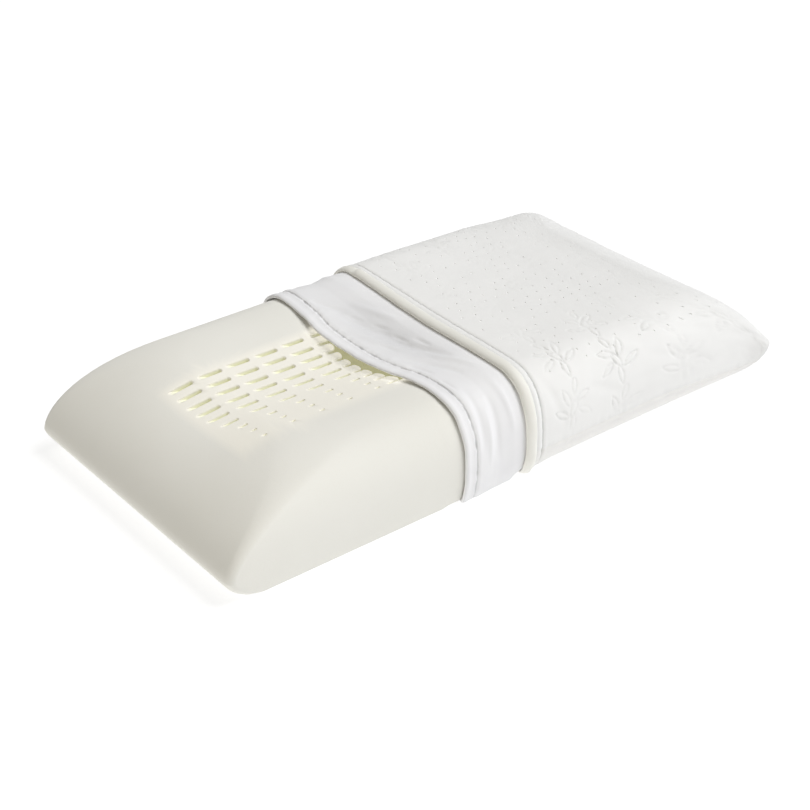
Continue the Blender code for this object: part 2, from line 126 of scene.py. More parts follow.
# %% The rule from a box to the pillow
def on_pillow(box, station, layer):
    """Where the points of a box at the pillow's size go, on a layer with its growth, hollow and base."""
    _, y_box, z_box = box.T
    rise = np.where(z_box >= WIDEST, (z_box - WIDEST) / (CORE_HEIGHT - WIDEST), z_box / WIDEST - 1.0)
    row = np.clip(y_box / CORE_HALF_WIDTH, -1.0, 1.0)
    grow, hollow, base = layer(np.clip(station, -MIDDLE, MIDDLE))
    # what differs between the bare end and the covered one
    bare = station < 0
    sign = np.where(bare, -1.0, 1.0)
    far = np.where(bare, CORE_LEFT, CORE_RIGHT)
    end_full = np.where(bare, END_INSET_BARE, END_INSET_COVERED)
    end_power = np.where(bare, END_POWER, END_POWER_COVERED)
    corner_spread = np.where(bare, CORNER_SPREAD_BARE, CORNER_SPREAD_COVERED)
    foot_full = FOOT_SIDE_BARE + (FOOT_SIDE_COVERED - FOOT_SIDE_BARE) * smooth(station, *FOOT_ROUNDS)
    # the rounded rectangle at this level
    foot = inset(-rise, FOOT_POWER)
    up = rise >= 0
    end_in = np.where(up, end_full * inset(rise, end_power), FOOT_END_INSET * foot)
    side_in = np.where(up, SIDE_INSET * inset(rise, SIDE_POWER), foot_full * foot)
    reach = far - end_in + grow
    half_width = CORE_HALF_WIDTH - side_in + grow
    radius = CORNER_RADIUS + corner_spread * np.minimum(end_in, side_in) + grow
    # the point on it: straight in the middle, on the corner's arc at the end
    along = np.clip((np.abs(station) - MIDDLE) / (far - MIDDLE), 0.0, 1.0)
    run = np.clip(along / (1.0 - ARC_SHARE), 0.0, 1.0)
    angle = math.pi / 2 * (1.0 - np.clip((along - (1.0 - ARC_SHARE)) / ARC_SHARE, 0.0, 1.0))
    in_arc = along > 1.0 - ARC_SHARE
    y = row * np.where(in_arc, half_width - radius + radius * np.sin(angle), half_width)
    x = np.where(in_arc, reach - radius + radius * np.cos(angle),
                 MIDDLE + (reach - radius - MIDDLE) * run) * sign
    x = np.where(np.abs(station) <= MIDDLE, station + hem_shift(station, y, rise > 0), x)
    # the height, with the hollow, the low seam at the covered end and the drawn-in end
    top = CORE_HEIGHT + grow
    z = np.where(up, WIDEST + rise * (top - WIDEST), WIDEST * (1.0 + rise))
    z = z - hollow * hollow_share(x, y, rise)
    drop = SEAM_DROP * smooth(x, SEAM_DROP_START, CORE_RIGHT)
    z = z - drop * np.where(z < WIDEST, z / WIDEST, (top - z) / (top - WIDEST))
    across = np.minimum(1.0, np.abs(y) / CORE_HALF_WIDTH)
    x = x - DRAW_IN * (1.0 - across ** 2) * smooth(x, DRAW_IN_START, CORE_RIGHT)
    return np.column_stack([x, y, base + z * (top - base) / top])


def push_ears(points):
    """Pull the covered corners out into soft points, as sewn corners stand."""
    x, y, z = points.T
    gap_x, gap_y = x - CORE_RIGHT - EAR_BEYOND, np.abs(y) - CORE_HALF_WIDTH - EAR_BEYOND
    gap = np.sqrt(gap_x ** 2 + gap_y ** 2 + (z - EAR_HEIGHT) ** 2)
    near = np.clip(1.0 - gap / EAR_REACH, 0.0, 1.0) ** 2 * smooth(z, *EAR_RISE)
    return points + np.column_stack([EAR_PUSH * near, np.sign(y) * EAR_PUSH * near, EAR_LIFT * near])


def table(rows, column, place):
    """Read one column of a short table at a place in its first column."""
    return np.interp(place, [row[0] for row in rows], [row[column] for row in rows])


# %% [markdown]
# ## Boxes, cells and pressing
# Every piece goes through the same steps, so they are helpers. A box is added at its size and
# place and cut by planes, close together where the piece needs detail. The cells are then
# pressed: their corners move by a rule, as a sheet is laid over a form. Where cloth rounds off a
# turn of the form, each corner is then eased towards the middle of its neighbours, many times
# over, which does what a smooth brush does by hand.

# %% Helpers for boxes and edit mode
def choose_only(piece):
    """Make one piece the only one selected, and the active one."""
    bpy.ops.object.select_all(action="DESELECT")
    piece.select_set(True)
    bpy.context.view_layer.objects.active = piece


def cut_box(name, low, high, cuts, finer=0):
    """A box at its size and place, cut across X, Y and Z, with every cell cut again if asked."""
    bpy.ops.object.select_all(action="DESELECT")
    middle = [(a + b) / 2 for a, b in zip(low, high)]
    size = [b - a for a, b in zip(low, high)]
    bpy.ops.mesh.primitive_cube_add(size=1, location=middle, scale=size)
    piece = bpy.context.object
    piece.name = name
    piece.data.name = name
    bpy.ops.object.transform_apply(location=True, rotation=True, scale=True)
    bpy.ops.object.mode_set(mode="EDIT")
    for axis in (2, 1, 0):
        direction = [float(axis == way) for way in range(3)]
        for place in cuts[axis]:
            if low[axis] + 1e-6 < place < high[axis] - 1e-6:
                bpy.ops.mesh.select_all(action="SELECT")
                bpy.ops.mesh.bisect(plane_co=[place * part for part in direction], plane_no=direction)
    bpy.ops.mesh.select_all(action="SELECT")
    if finer:
        bpy.ops.mesh.subdivide(number_cuts=finer)
    bpy.ops.mesh.select_all(action="DESELECT")
    bpy.ops.object.mode_set(mode="OBJECT")
    return piece


def read(items, label, width=1, kind=float):
    """A property of all corners, edges or faces, with one row for each if it has several numbers."""
    values = np.empty(len(items) * width, kind)
    items.foreach_get(label, values)
    return values.reshape(-1, width) if width > 1 else values


def corners_of(piece):
    """Every corner of a piece's mesh, as rows of x, y and z."""
    return read(piece.data.vertices, "co", 3)


def outward(piece):
    """The way that each corner of a piece faces."""
    return read(piece.data.vertices, "normal", 3)


def press(piece, places):
    """Move every corner of a piece's mesh to a new place."""
    piece.data.vertices.foreach_set("co", np.asarray(places, float).ravel())
    piece.data.update()


def keep(piece, label, values):
    """Keep a number at each corner of a piece's mesh, for its material to read."""
    attribute = piece.data.attributes.new(label, "FLOAT", "POINT")
    attribute.data.foreach_set("value", np.asarray(values, np.float32))


def remove_side(piece, test):
    """Delete the faces whose middle passes a test, such as a bag's open end."""
    choose_only(piece)
    for face in piece.data.polygons:
        face.select = bool(test(face.center))
    bpy.ops.object.mode_set(mode="EDIT")
    bpy.ops.mesh.select_mode(type="FACE")
    bpy.ops.mesh.delete(type="FACE")
    bpy.ops.mesh.select_mode(type="VERT")
    bpy.ops.object.mode_set(mode="OBJECT")


def finish_with(piece, kind, **settings):
    """Add a modifier, set it and apply it."""
    choose_only(piece)
    modifier = piece.modifiers.new(kind.lower(), kind)
    for name, value in settings.items():
        setattr(modifier, name, value)
    bpy.ops.object.modifier_apply(modifier=modifier.name)


def turn_outward(piece):
    """Make every face of a closed piece point outwards."""
    choose_only(piece)
    bpy.ops.object.mode_set(mode="EDIT")
    bpy.ops.mesh.select_all(action="SELECT")
    bpy.ops.mesh.normals_make_consistent(inside=False)
    bpy.ops.object.mode_set(mode="OBJECT")


def shade(piece, degrees):
    """Smooth shading with the sharp edges kept."""
    choose_only(piece)
    bpy.ops.object.shade_smooth_by_angle(angle=math.radians(degrees))


def soften(piece, share, rounds):
    """Ease a mesh towards its neighbours' middle where share is above 0, as cloth rounds a corner."""
    first, second = read(piece.data.edges, "vertices", 2, np.int64).T
    places = corners_of(piece)
    count = len(places)
    met = np.bincount(first, minlength=count) + np.bincount(second, minlength=count)
    for _ in range(rounds):
        for way in range(3):
            line = places[:, way]
            total = np.bincount(first, line[second], count) + np.bincount(second, line[first], count)
            places[:, way] = line + 0.5 * share * (total / met - line)
    press(piece, places)


def shoulder_share(box):
    """1 on the covered end's shoulder, which the covers round off, and 0 elsewhere."""
    return smooth(box[:, 2], *SHOULDER_LEVELS) * smooth(box[:, 0], *SHOULDER_RUN)


def report(piece):
    """Print a piece's name, size and number of faces."""
    places = corners_of(piece)
    size = (places.max(0) - places.min(0)) * 1000
    print(piece.name, "size mm", size.round(1), "faces", len(piece.data.polygons))


# %% [markdown]
# Levels up the side are spaced by angle, so that the cells stay even round the shoulder, and the
# planes along the length are spread between the places where a piece changes.

# %% Where the planes go
def levels(foot_cells, rise_cells):
    """Heights of the planes, close together near the top, where the shoulder turns over."""
    tall = CORE_HEIGHT - WIDEST
    foot = [WIDEST * (1.0 - (step / foot_cells) ** 1.4) for step in range(1, foot_cells)]
    rise = [WIDEST + tall * math.sin(math.pi / 2 * step / rise_cells) for step in range(rise_cells)]
    return sorted(foot + rise)


def spread(*stops):
    """Planes between stops, given as place, cells up to the next place, place and so on."""
    planes = []
    for start, cells, stop in zip(stops[0::2], stops[1::2], stops[2::2]):
        planes += [start + (stop - start) * step / cells for step in range(cells)]
    return planes + [stops[-1]]


print("levels:", [round(z, 4) for z in levels(3, 7)])

# %% [markdown]
# ## The foam core
# The core is poured into a mould and comes out as one soft block with a matt skin. Its top has
# rows of long vent wells, whose floors slope down to the right, and a trench across the ends of
# the ribs. A box pressed by the rule gives the block. The wells are real cuts. Inside the covers
# the block's underside is lifted by the cloth under it, so that every layer stands on the floor.

# %% Press the block
HOLLOW_CHANGE = (HEM_X, 0.030)
LIFT_UNDER_HEM, LIFT_UNDER_MOUTH = 1.8 * MM, 2.5 * MM
CORE_EASING = 26


def core_hollow(x):
    """Depth of the foam's long hollow: full where it is bare, and shallow under the covers."""
    return HOLLOW_BARE + (HOLLOW_COVERED - HOLLOW_BARE) * smooth(x, *HOLLOW_CHANGE)


def core_layer(station):
    """The foam itself: no growth, its hollow, and the steps in its underside where cloth lies under it."""
    base = LIFT_UNDER_HEM * smooth(station, *STEP_UNDER_HEM)
    base += LIFT_UNDER_MOUTH * smooth(station, *STEP_UNDER_MOUTH)
    return 0.0 * station, core_hollow(station), base


core_planes = spread(-CORE_LEFT, 12, -MIDDLE, 2, STEP_UNDER_HEM[0], 3, STEP_UNDER_HEM[1], 8,
                     STEP_UNDER_MOUTH[0], 2, STEP_UNDER_MOUTH[1], 10, MIDDLE, 10, CORE_RIGHT)
core = cut_box(
    "moulded_core", (-CORE_LEFT, -CORE_HALF_WIDTH, 0), (CORE_RIGHT, CORE_HALF_WIDTH, CORE_HEIGHT),
    (core_planes, spread(-CORE_HALF_WIDTH, 16, CORE_HALF_WIDTH), levels(4, 9)), finer=1)
core_box = corners_of(core)
press(core, on_pillow(core_box, core_box[:, 0], core_layer))
soften(core, shoulder_share(core_box), CORE_EASING)
report(core)


# %% Height of the foam's top at a place on the plateau
def foam_top(x, y):
    """The top of the bare foam above a place in plan."""
    end_in = np.minimum(END_INSET_BARE, CORE_LEFT - np.abs(x))
    rise = (1.0 - (1.0 - end_in / END_INSET_BARE) ** END_POWER) ** (1.0 / END_POWER)
    crown = WIDEST + rise * (CORE_HEIGHT - WIDEST)
    return crown - core_hollow(x) * hollow_share(x, y, rise)


# %% [markdown]
# One well is modelled as a solid that is as big as the hole: a cylinder is stretched into a slot,
# its floor tilted, and its upper rings spread a little, which rounds the well's rim when it is
# cut. Every well gets one at its own size. The wells are narrower and shallower towards the
# front, where the foam has nearly closed over them. At the right each row ends in an opening to
# the trench.

# %% One well
WELL_ROWS, WELL_COLUMNS = 9, 5
WELL_PITCH_X, WELL_PITCH_Y = 0.0380, 0.0181
WELL_LENGTH = 0.029
WELL_FIRST_END_X, WELL_BACK_Y = -0.274, 0.0620
WELL_LENGTHS = (31.0, 31.0, 31.0, 30.0, 28.0, 22.0, 12.0, 8.0, 6.5)
WELL_WIDTHS = (6.0, 6.0, 6.0, 5.8, 5.0, 4.2, 3.6, 3.2, 3.0)
WELL_LEFT_DEPTHS = (0.5, 0.5, 0.5, 0.5, 0.5, 0.4, 0.4, 0.4, 0.4)
WELL_RIGHT_DEPTHS = (14.0, 14.0, 13.5, 13.0, 11.0, 8.0, 5.5, 4.5, 4.0)
WELL_SIDES, WELL_SLOPE_POWER = 20, 1.8
FLOOR_EDGE, FLOOR_DRAWN_IN, FULL_RIM_WIDTH = 0.8 * MM, 0.18, 0.007
RIM_STEPS = (
    # millimetres above the foam's top, and how far the rim has spread there
    (-2.2, 0.0), (-1.1, 0.35), (-0.35, 0.95), (0.0, 1.6), (0.6, 2.2), (5.0, 2.2),
)


def add_well(x_right, y, length, width, depth_left, depth_right):
    """The solid that cuts one well, with heights measured from the foam's top."""
    bpy.ops.object.select_all(action="DESELECT")
    radius = width / 2
    middle = (x_right - length / 2, y, -depth_right / 2)
    bpy.ops.mesh.primitive_cylinder_add(vertices=WELL_SIDES, radius=radius, depth=depth_right,
                                        location=middle)
    well = bpy.context.object
    well.name = "well"
    bpy.ops.object.transform_apply(location=True, rotation=True, scale=True)
    bpy.ops.object.mode_set(mode="EDIT")
    bpy.ops.mesh.bisect(plane_co=(0, 0, -depth_right + FLOOR_EDGE), plane_no=(0, 0, 1))
    for height, _ in RIM_STEPS[:3]:
        bpy.ops.mesh.select_all(action="SELECT")
        bpy.ops.mesh.bisect(plane_co=(0, 0, height * MM), plane_no=(0, 0, 1))
    bpy.ops.mesh.select_all(action="DESELECT")
    bpy.ops.object.mode_set(mode="OBJECT")
    for face in well.data.polygons:
        face.select = face.normal.z > 0.9
    bpy.ops.object.mode_set(mode="EDIT")
    for before, after in zip(RIM_STEPS[3:], RIM_STEPS[4:]):
        up = (0, 0, (after[0] - before[0]) * MM)
        bpy.ops.mesh.extrude_region_move(TRANSFORM_OT_translate={"value": up})
    bpy.ops.object.mode_set(mode="OBJECT")
    places = corners_of(well)
    x, y_now, z = places.T
    away_x, away_y = x - middle[0], y_now - y
    flare = table(RIM_STEPS, 1, z / MM) * MM * min(1.0, width / FULL_RIM_WIDTH)
    flare = np.where(z < -depth_right + FLOOR_EDGE / 2, -FLOOR_DRAWN_IN * radius, flare)
    grown = (radius + flare) / radius
    x = middle[0] + away_x * grown + np.where(away_x > 1e-6, 1, -1) * (length / 2 - radius)
    y_now = y + away_y * grown
    share = np.clip((x - (x_right - length)) / length, 0.0, 1.0)
    floor = depth_left + (depth_right - depth_left) * share ** WELL_SLOPE_POWER
    z = np.where(z < 0, z * floor / depth_right, z)
    press(well, np.column_stack([x, y_now, z]))
    return well


# %% [markdown]
# The trench is a box with many cells along its left side. Each of them is moved to where the rib
# there ends, which gives every rib a rounded finger tip. The wells and the trench are joined,
# laid on the foam's curved top, and taken out by one exact boolean, so that no thin sliver of
# foam is left where they meet.

# %% All the wells, and the trench over the ends of the ribs
TRENCH_X, TRENCH_END_X, TRENCH_DEPTH, TRENCH_CELLS = -0.094, -0.074, 0.009, 96
TRENCH_PAST_FRONT, TRENCH_PAST_BACK, TRENCH_ABOVE = 3.0 * MM, 4.6 * MM, 5 * MM
RIB_TIP, TIP_BOW, WELL_BOW, WELL_WOBBLE = 4.5 * MM, 12.5 * MM, 6.0 * MM, 0.5 * MM
OPENING_X, OPENING_DEPTH = -0.088, 9.5 * MM
ROWS_RUN = WELL_PITCH_Y * (WELL_ROWS - 1)


def rib_ends(y):
    """Where the ribs end at each y: a rounded finger on each rib, and an opening at each well."""
    side = np.clip((y - (WELL_BACK_Y - ROWS_RUN / 2)) / (ROWS_RUN / 2), -1.0, 1.0)
    row = (WELL_BACK_Y - y) / WELL_PITCH_Y
    width = np.interp(row, range(WELL_ROWS), WELL_WIDTHS) * MM
    rib_half = (WELL_PITCH_Y - width) / 2
    off_rib = np.abs((row % 1.0) - 0.5) * WELL_PITCH_Y
    tip = RIB_TIP * np.sqrt(np.clip(1.0 - (off_rib / rib_half) ** 2, 0.0, 1.0))
    inside = (row > 0) & (row < WELL_ROWS - 1)
    return TRENCH_X - TIP_BOW * (1.0 - side ** 2) + np.where(inside, tip, 0.0)


cutters = []
for row in range(WELL_ROWS):
    y_row = WELL_BACK_Y - WELL_PITCH_Y * row
    for column in range(WELL_COLUMNS + 1):
        right = WELL_FIRST_END_X + WELL_PITCH_X * column
        length = WELL_LENGTHS[row] * MM
        wobble = WELL_WOBBLE * math.sin(2.1 * row + 3.7 * column)
        depth = WELL_RIGHT_DEPTHS[row] * MM
        if column == WELL_COLUMNS:
            left = right - WELL_LENGTH - WELL_BOW * (1.0 - ((row - 4) / 4) ** 2)
            right, length, depth = OPENING_X, OPENING_X - left, OPENING_DEPTH
        cutters.append(add_well(right, y_row + wobble, length, WELL_WIDTHS[row] * MM,
                                WELL_LEFT_DEPTHS[row] * MM, depth))
trench_low = WELL_BACK_Y - ROWS_RUN - TRENCH_PAST_FRONT
trench_high = WELL_BACK_Y + TRENCH_PAST_BACK
trench = cut_box(
    "trench", (TRENCH_X, trench_low, -TRENCH_DEPTH), (TRENCH_END_X, trench_high, TRENCH_ABOVE),
    ((), spread(trench_low, TRENCH_CELLS, trench_high), [height * MM for height, _ in RIM_STEPS]))
places = corners_of(trench)
flare = table(RIM_STEPS, 1, places[:, 2] / MM) * MM
at_ribs = places[:, 0] < TRENCH_X + 1e-6
places[:, 0] = np.where(at_ribs, rib_ends(places[:, 1]) - flare, places[:, 0])
press(trench, places)
cutters.append(trench)
print("wells:", len(cutters) - 1)


# %% Cut them from the core
bpy.ops.object.select_all(action="DESELECT")
for cutter in cutters:
    cutter.select_set(True)
cutter = cutters[0]
bpy.context.view_layer.objects.active = cutter
bpy.ops.object.join()
places = corners_of(cutter)
places[:, 2] += foam_top(places[:, 0], places[:, 1])
press(cutter, places)
turn_outward(cutter)
finish_with(core, "BOOLEAN", operation="DIFFERENCE", solver="EXACT", use_self=True, object=cutter)
bpy.data.objects.remove(cutter, do_unlink=True)
shade(core, 32)
report(core)

# %% [markdown]
# Light goes a little way through foam and thin jersey. So the wells look yellow-green inside, the foam
# between them is a little warmer, and the ribs' ends are bright under the hem. A shader that follows light
# into the foam would be slow and noisy. Instead the core keeps three numbers at each corner of its mesh:
# how deep the corner lies, whether it is in the vented zone, and how much light the hem lets through to it.
# By them its material paints that light and shade into its colour, and gives a painted glow of its own.

# %% How deep each place lies, and where light comes through
ZONE_MIDDLE, ZONE_HALF, ZONE_Z = (-0.19, -0.010), (0.125, 0.085), 0.06
SKIN_DEPTH, DEEPEST = 0.15 * MM, 0.03
THROUGH_RUN = (-0.0115, 0.0005)
VENTED_LEFT, VENTED_RIGHT = (-0.3100, -0.3060), -0.05
VENTED_FRONT, VENTED_BACK = (-0.108, -0.080), (0.066, 0.080)
x, y, z = corners_of(core).T
on_top = z > ZONE_Z
in_zone = (np.abs(x - ZONE_MIDDLE[0]) < ZONE_HALF[0]) & (np.abs(y - ZONE_MIDDLE[1]) < ZONE_HALF[1]) & on_top
below = np.clip(np.where(in_zone, foam_top(x, y) - z, 0.0) - SKIN_DEPTH, 0.0, DEEPEST)
mouth_x = HEM_X + hem_shift(HEM_X, y, 1.0)
through = smooth(x - mouth_x, *THROUGH_RUN) * in_zone
vented = smooth(x, *VENTED_LEFT) * smooth(y, *VENTED_FRONT) * (1.0 - smooth(y, *VENTED_BACK))
# These numbers place the foam's painted light, painted shade and painted glow
keep(core, "depth", below / MM)
keep(core, "vented", vented * on_top * (x < VENTED_RIGHT))
keep(core, "through cloth", through)
print("deepest place mm:", round(float(below.max()) * 1000, 1))

# %% [markdown]
# ## The jersey sleeve
# The inner cover is thin jersey, turned under at the mouth and stitched down, so the mouth is a
# soft double edge with a crease behind it. The box for it starts before the mouth: the cells
# before the fold go round it and lie underneath. The sleeve bridges the hollow, dips between its
# folds, and its stitches pucker.

# %% The sleeve's cloth
JERSEY = 0.7 * MM
FOLD = 1.40 * MM
HEM_UNDER, LIFT_UNDER_FOLD = 11.0 * MM, 1.45 * MM
SLEEVE_TABLE = (
    # behind the hem, growth of the outer face, hollow
    (0.0000, 4.10 * MM, 4.3 * MM),
    (0.0025, 5.00 * MM, 4.3 * MM),
    (0.0050, 5.20 * MM, 4.3 * MM),
    (0.0085, 4.50 * MM, 4.5 * MM),
    (0.0120, 4.20 * MM, 4.7 * MM),
    (0.0150, 4.40 * MM, 4.8 * MM),
    (0.0168, 4.10 * MM, 5.0 * MM),
    (0.0180, 3.20 * MM, 5.2 * MM),
    (0.0192, 4.20 * MM, 5.2 * MM),
    (0.0230, 4.90 * MM, 5.2 * MM),
    (0.0330, 4.20 * MM, 5.9 * MM),
    (0.0450, 3.20 * MM, 7.5 * MM),
    (0.0560, 2.60 * MM, 8.3 * MM),
    (0.0680, 3.00 * MM, 6.8 * MM),
    (0.0790, 3.60 * MM, 4.8 * MM),
    (0.0900, 3.40 * MM, 3.6 * MM),
    (0.0980, 3.20 * MM, 2.8 * MM),
    (0.1500, 3.20 * MM, 2.8 * MM),
    (0.2350, 1.00 * MM, 2.8 * MM),
)
FOLD_START = HEM_X + FOLD
UNDER_START = FOLD_START - math.pi * FOLD


def cloth_station(x_box):
    """Where along the pillow a cell of the sleeve's box lies, once the mouth is turned under."""
    turn = np.clip((FOLD_START - x_box) / FOLD, 0.0, math.pi)
    under = np.maximum(0.0, UNDER_START - x_box)
    return np.where(x_box >= FOLD_START, x_box, FOLD_START - FOLD * np.sin(turn) + under), turn


def sleeve_layer_for(x_box):
    """The sleeve's layer, with the turned-under part lying below the outer one."""
    under = (1.0 - np.cos(cloth_station(x_box)[1])) / 2

    def layer(station):
        """Growth, hollow and base of the sleeve's outer face."""
        behind = station - HEM_X
        grow = table(SLEEVE_TABLE, 1, behind) - 2 * FOLD * under
        base = LIFT_UNDER_MOUTH * smooth(station, *STEP_UNDER_MOUTH) + LIFT_UNDER_FOLD * under
        return grow, table(SLEEVE_TABLE, 2, behind), base

    return layer


sleeve_planes = spread(UNDER_START - HEM_UNDER, 5, UNDER_START, 8, FOLD_START, 7, HEM_X + 0.0155, 8,
                       HEM_X + 0.0205, 3, HEM_X + 0.026, 22, EDGE_X, 3, 0.05, 3, MIDDLE, 10, CORE_RIGHT)
sleeve = cut_box(
    "jersey_sleeve", (sleeve_planes[0], -CORE_HALF_WIDTH, 0), (CORE_RIGHT, CORE_HALF_WIDTH, CORE_HEIGHT),
    (sleeve_planes, spread(-CORE_HALF_WIDTH, 62, CORE_HALF_WIDTH), levels(3, 14)), finer=1)
sleeve_mouth = sleeve_planes[0]
remove_side(sleeve, lambda middle: middle.x < sleeve_mouth + 1e-5)
report(sleeve)

# %% [markdown]
# Patterns and creases are placed on the flat cloth, as a maker sees it: the first number runs
# along the pillow, and the second round it, from the middle of the top, over the shoulder and
# down the side.

# %% Flat coordinates of the cloth
ANGLES = np.linspace(0, 1, 200)
SIDE_Z = WIDEST + (CORE_HEIGHT - WIDEST) * np.sin(math.pi / 2 * ANGLES)
SIDE_Y = -SIDE_INSET * inset(np.sin(math.pi / 2 * ANGLES), SIDE_POWER)
STEPS = np.hypot(np.diff(SIDE_Z), np.diff(SIDE_Y))
SIDE_RUN = np.concatenate([[0.0], np.cumsum(STEPS)])
PLATEAU_HALF = CORE_HALF_WIDTH - SIDE_INSET


def down_side(z_box):
    """Distance over the shoulder and down the side from the edge of the plateau."""
    up_run = SIDE_RUN[-1] - np.interp(z_box, SIDE_Z, SIDE_RUN)
    return np.where(z_box >= WIDEST, up_run, SIDE_RUN[-1] + WIDEST - z_box)


def flat_place(box):
    """Place on the flat cloth of each point of a box: along the pillow, and round it."""
    x_box, y_box, z_box = box.T
    on_side = np.abs(y_box) > CORE_HALF_WIDTH - 1e-5
    on_end = (x_box > CORE_RIGHT - 1e-5) & ~on_side
    side_run = np.sign(y_box) * (PLATEAU_HALF + down_side(z_box))
    around = np.where(on_side, side_run, y_box / CORE_HALF_WIDTH * PLATEAU_HALF)
    along = np.where(on_end, x_box + down_side(z_box), x_box)
    return along, around


def mark_cloth(piece, box):
    """Keep the flat place as a UV map in metres, face by face, so that no face is torn across a corner."""
    _, around = flat_place(box)
    corner = read(piece.data.loops, "vertex_index", kind=np.int64)
    x_box, y_box, z_box = box[corner].T
    total = read(piece.data.polygons, "loop_total", kind=np.int64)
    face = np.repeat(np.arange(len(total)), total)

    def face_mean(values):
        """Mean of a value over each face, handed back to its corners."""
        return (np.bincount(face, values) / total)[face]

    at_end = face_mean(x_box) > CORE_RIGHT - 1e-6
    at_foot = face_mean(z_box) < 1e-6
    run_along = np.where(at_end, x_box + down_side(z_box), x_box)
    run_round = np.where(at_end | at_foot, y_box / CORE_HALF_WIDTH * PLATEAU_HALF, around[corner])
    uv = np.column_stack([run_along, run_round])
    piece.data.uv_layers.new(name="cloth").data.foreach_set("uv", uv.astype(np.float32).ravel())


def crease(along, around, start, stop, half_width, depth):
    """A soft trough, or a ridge if depth is negative, between two places on the flat cloth."""
    start, stop = np.array(start), np.array(stop)
    line = stop - start
    away_x, away_y = along - start[0], around - start[1]
    share = (away_x * line[0] + away_y * line[1]) / (line @ line)
    near = np.clip(share, 0.0, 1.0)
    gap = np.hypot(away_x - near * line[0], away_y - near * line[1])
    taper = np.sin(math.pi * np.clip(share * 0.86 + 0.07, 0.0, 1.0)) ** 0.8
    return -depth * np.exp(-(gap / half_width) ** 2) * np.maximum(taper, 0.0)


# %% [markdown]
# The sleeve's creases are those of thin jersey pulled over a block: a few long ones run slantwise across
# the top, where the cloth is pulled towards the corner, and short ones stand on the side. Each is listed in
# a table that reads like notes on the cloth. Real puckers at a stitch line are small and uneven, so those
# come from uneven lines instead.

# %% The sleeve's creases
SLEEVE_CREASES = (
    # start, stop (metres behind the hem, metres round the pillow), half width, depth
    ((0.036, 0.075), (0.060, -0.010), 7.0 * MM, 1.6 * MM),
    ((0.046, 0.010), (0.074, -0.080), 6.0 * MM, 1.5 * MM),
    ((0.028, 0.030), (0.048, -0.045), 4.5 * MM, -0.9 * MM),
    ((0.062, 0.080), (0.082, 0.020), 5.5 * MM, -1.0 * MM),
    ((0.030, -0.050), (0.058, -0.120), 5.0 * MM, 1.2 * MM),
    ((0.060, -0.070), (0.088, -0.125), 5.0 * MM, -0.9 * MM),
    ((0.026, 0.110), (0.046, 0.070), 4.5 * MM, 1.1 * MM),
    ((0.044, 0.066), (0.051, 0.048), 2.0 * MM, 0.8 * MM),
    ((0.056, 0.034), (0.064, 0.012), 2.2 * MM, 0.9 * MM),
    ((0.060, 0.002), (0.063, -0.022), 2.0 * MM, 0.8 * MM),
    ((0.072, -0.022), (0.074, -0.048), 2.2 * MM, 0.8 * MM),
    ((0.034, -0.012), (0.040, -0.034), 2.0 * MM, 0.7 * MM),
    ((0.024, -0.074), (0.029, -0.104), 2.4 * MM, 1.0 * MM),
    ((0.024, -0.120), (0.027, -0.145), 2.4 * MM, 0.8 * MM),
    ((0.034, -0.150), (0.030, -0.225), 4.5 * MM, 1.0 * MM),
    ((0.056, -0.165), (0.052, -0.238), 5.5 * MM, 0.9 * MM),
    ((0.075, -0.150), (0.080, -0.215), 4.5 * MM, -0.7 * MM),
    ((0.044, -0.180), (0.041, -0.240), 3.5 * MM, -0.7 * MM),
    ((0.030, 0.150), (0.036, 0.225), 5.0 * MM, 0.9 * MM),
    ((0.060, 0.160), (0.052, 0.235), 5.5 * MM, 0.9 * MM),
    ((0.078, 0.140), (0.082, 0.220), 4.5 * MM, -0.6 * MM),
)

# %% Press the sleeve, and work out its creases
CREASE_SHARE, OFF_FLOOR, SLEEVE_EASING = 1.8, (0.004, 0.020), 40
sleeve_box = corners_of(sleeve)
station, turn = cloth_station(sleeve_box[:, 0])
folded_box = np.column_stack([station, sleeve_box[:, 1:]])
sleeve_places = on_pillow(folded_box, station, sleeve_layer_for(sleeve_box[:, 0]))
mark_cloth(sleeve, sleeve_box)
_, around = flat_place(sleeve_box)
behind = station - HEM_X
press(sleeve, sleeve_places)
soften(sleeve, shoulder_share(sleeve_box), SLEEVE_EASING)
folded, on_outside = turn > 0.2, turn < 0.1
off_floor = smooth(sleeve_places[:, 2], *OFF_FLOOR)
shown = 1.0 - smooth(station, EDGE_X - 0.012, EDGE_X - 0.004)
height = np.zeros(len(sleeve_box))
for start, stop, half_width, depth in SLEEVE_CREASES:
    height += crease(behind, around, start, stop, half_width, depth)
height = CREASE_SHARE * np.where(folded, 0.0, height) * shown
print("creases mm:", round(float(height.min()) * 1000, 1), "to", round(float(height.max()) * 1000, 1))

# %% Puckers at the stitch line, and a ripple along the mouth
STITCH_LINE, STITCH_WANDER = 18.0 * MM, 0.6 * MM
PUCKER_HEIGHT, PUCKER_REACH, STITCH_DEPTH, STITCH_REACH = 0.75 * MM, 5.0 * MM, 1.3 * MM, 1.3 * MM
RIPPLE_HEIGHT, RIPPLE_REACH = 0.45 * MM, 0.016
stitch_gap = behind - STITCH_LINE - STITCH_WANDER * uneven(around, 0.040, 2)
pulled = np.clip(0.45 + 0.75 * uneven(around, 0.020, 10), 0.0, 1.0)
pucker = PUCKER_HEIGHT * uneven(around, 0.0105, 1) * np.exp(-(stitch_gap / PUCKER_REACH) ** 2)
pucker -= STITCH_DEPTH * pulled * np.exp(-(stitch_gap / STITCH_REACH) ** 2)
ripple = RIPPLE_HEIGHT * uneven(around, 0.034, 3) * np.exp(-(behind / RIPPLE_REACH) ** 2) * off_floor
lift = (height + pucker * on_outside) * off_floor + ripple
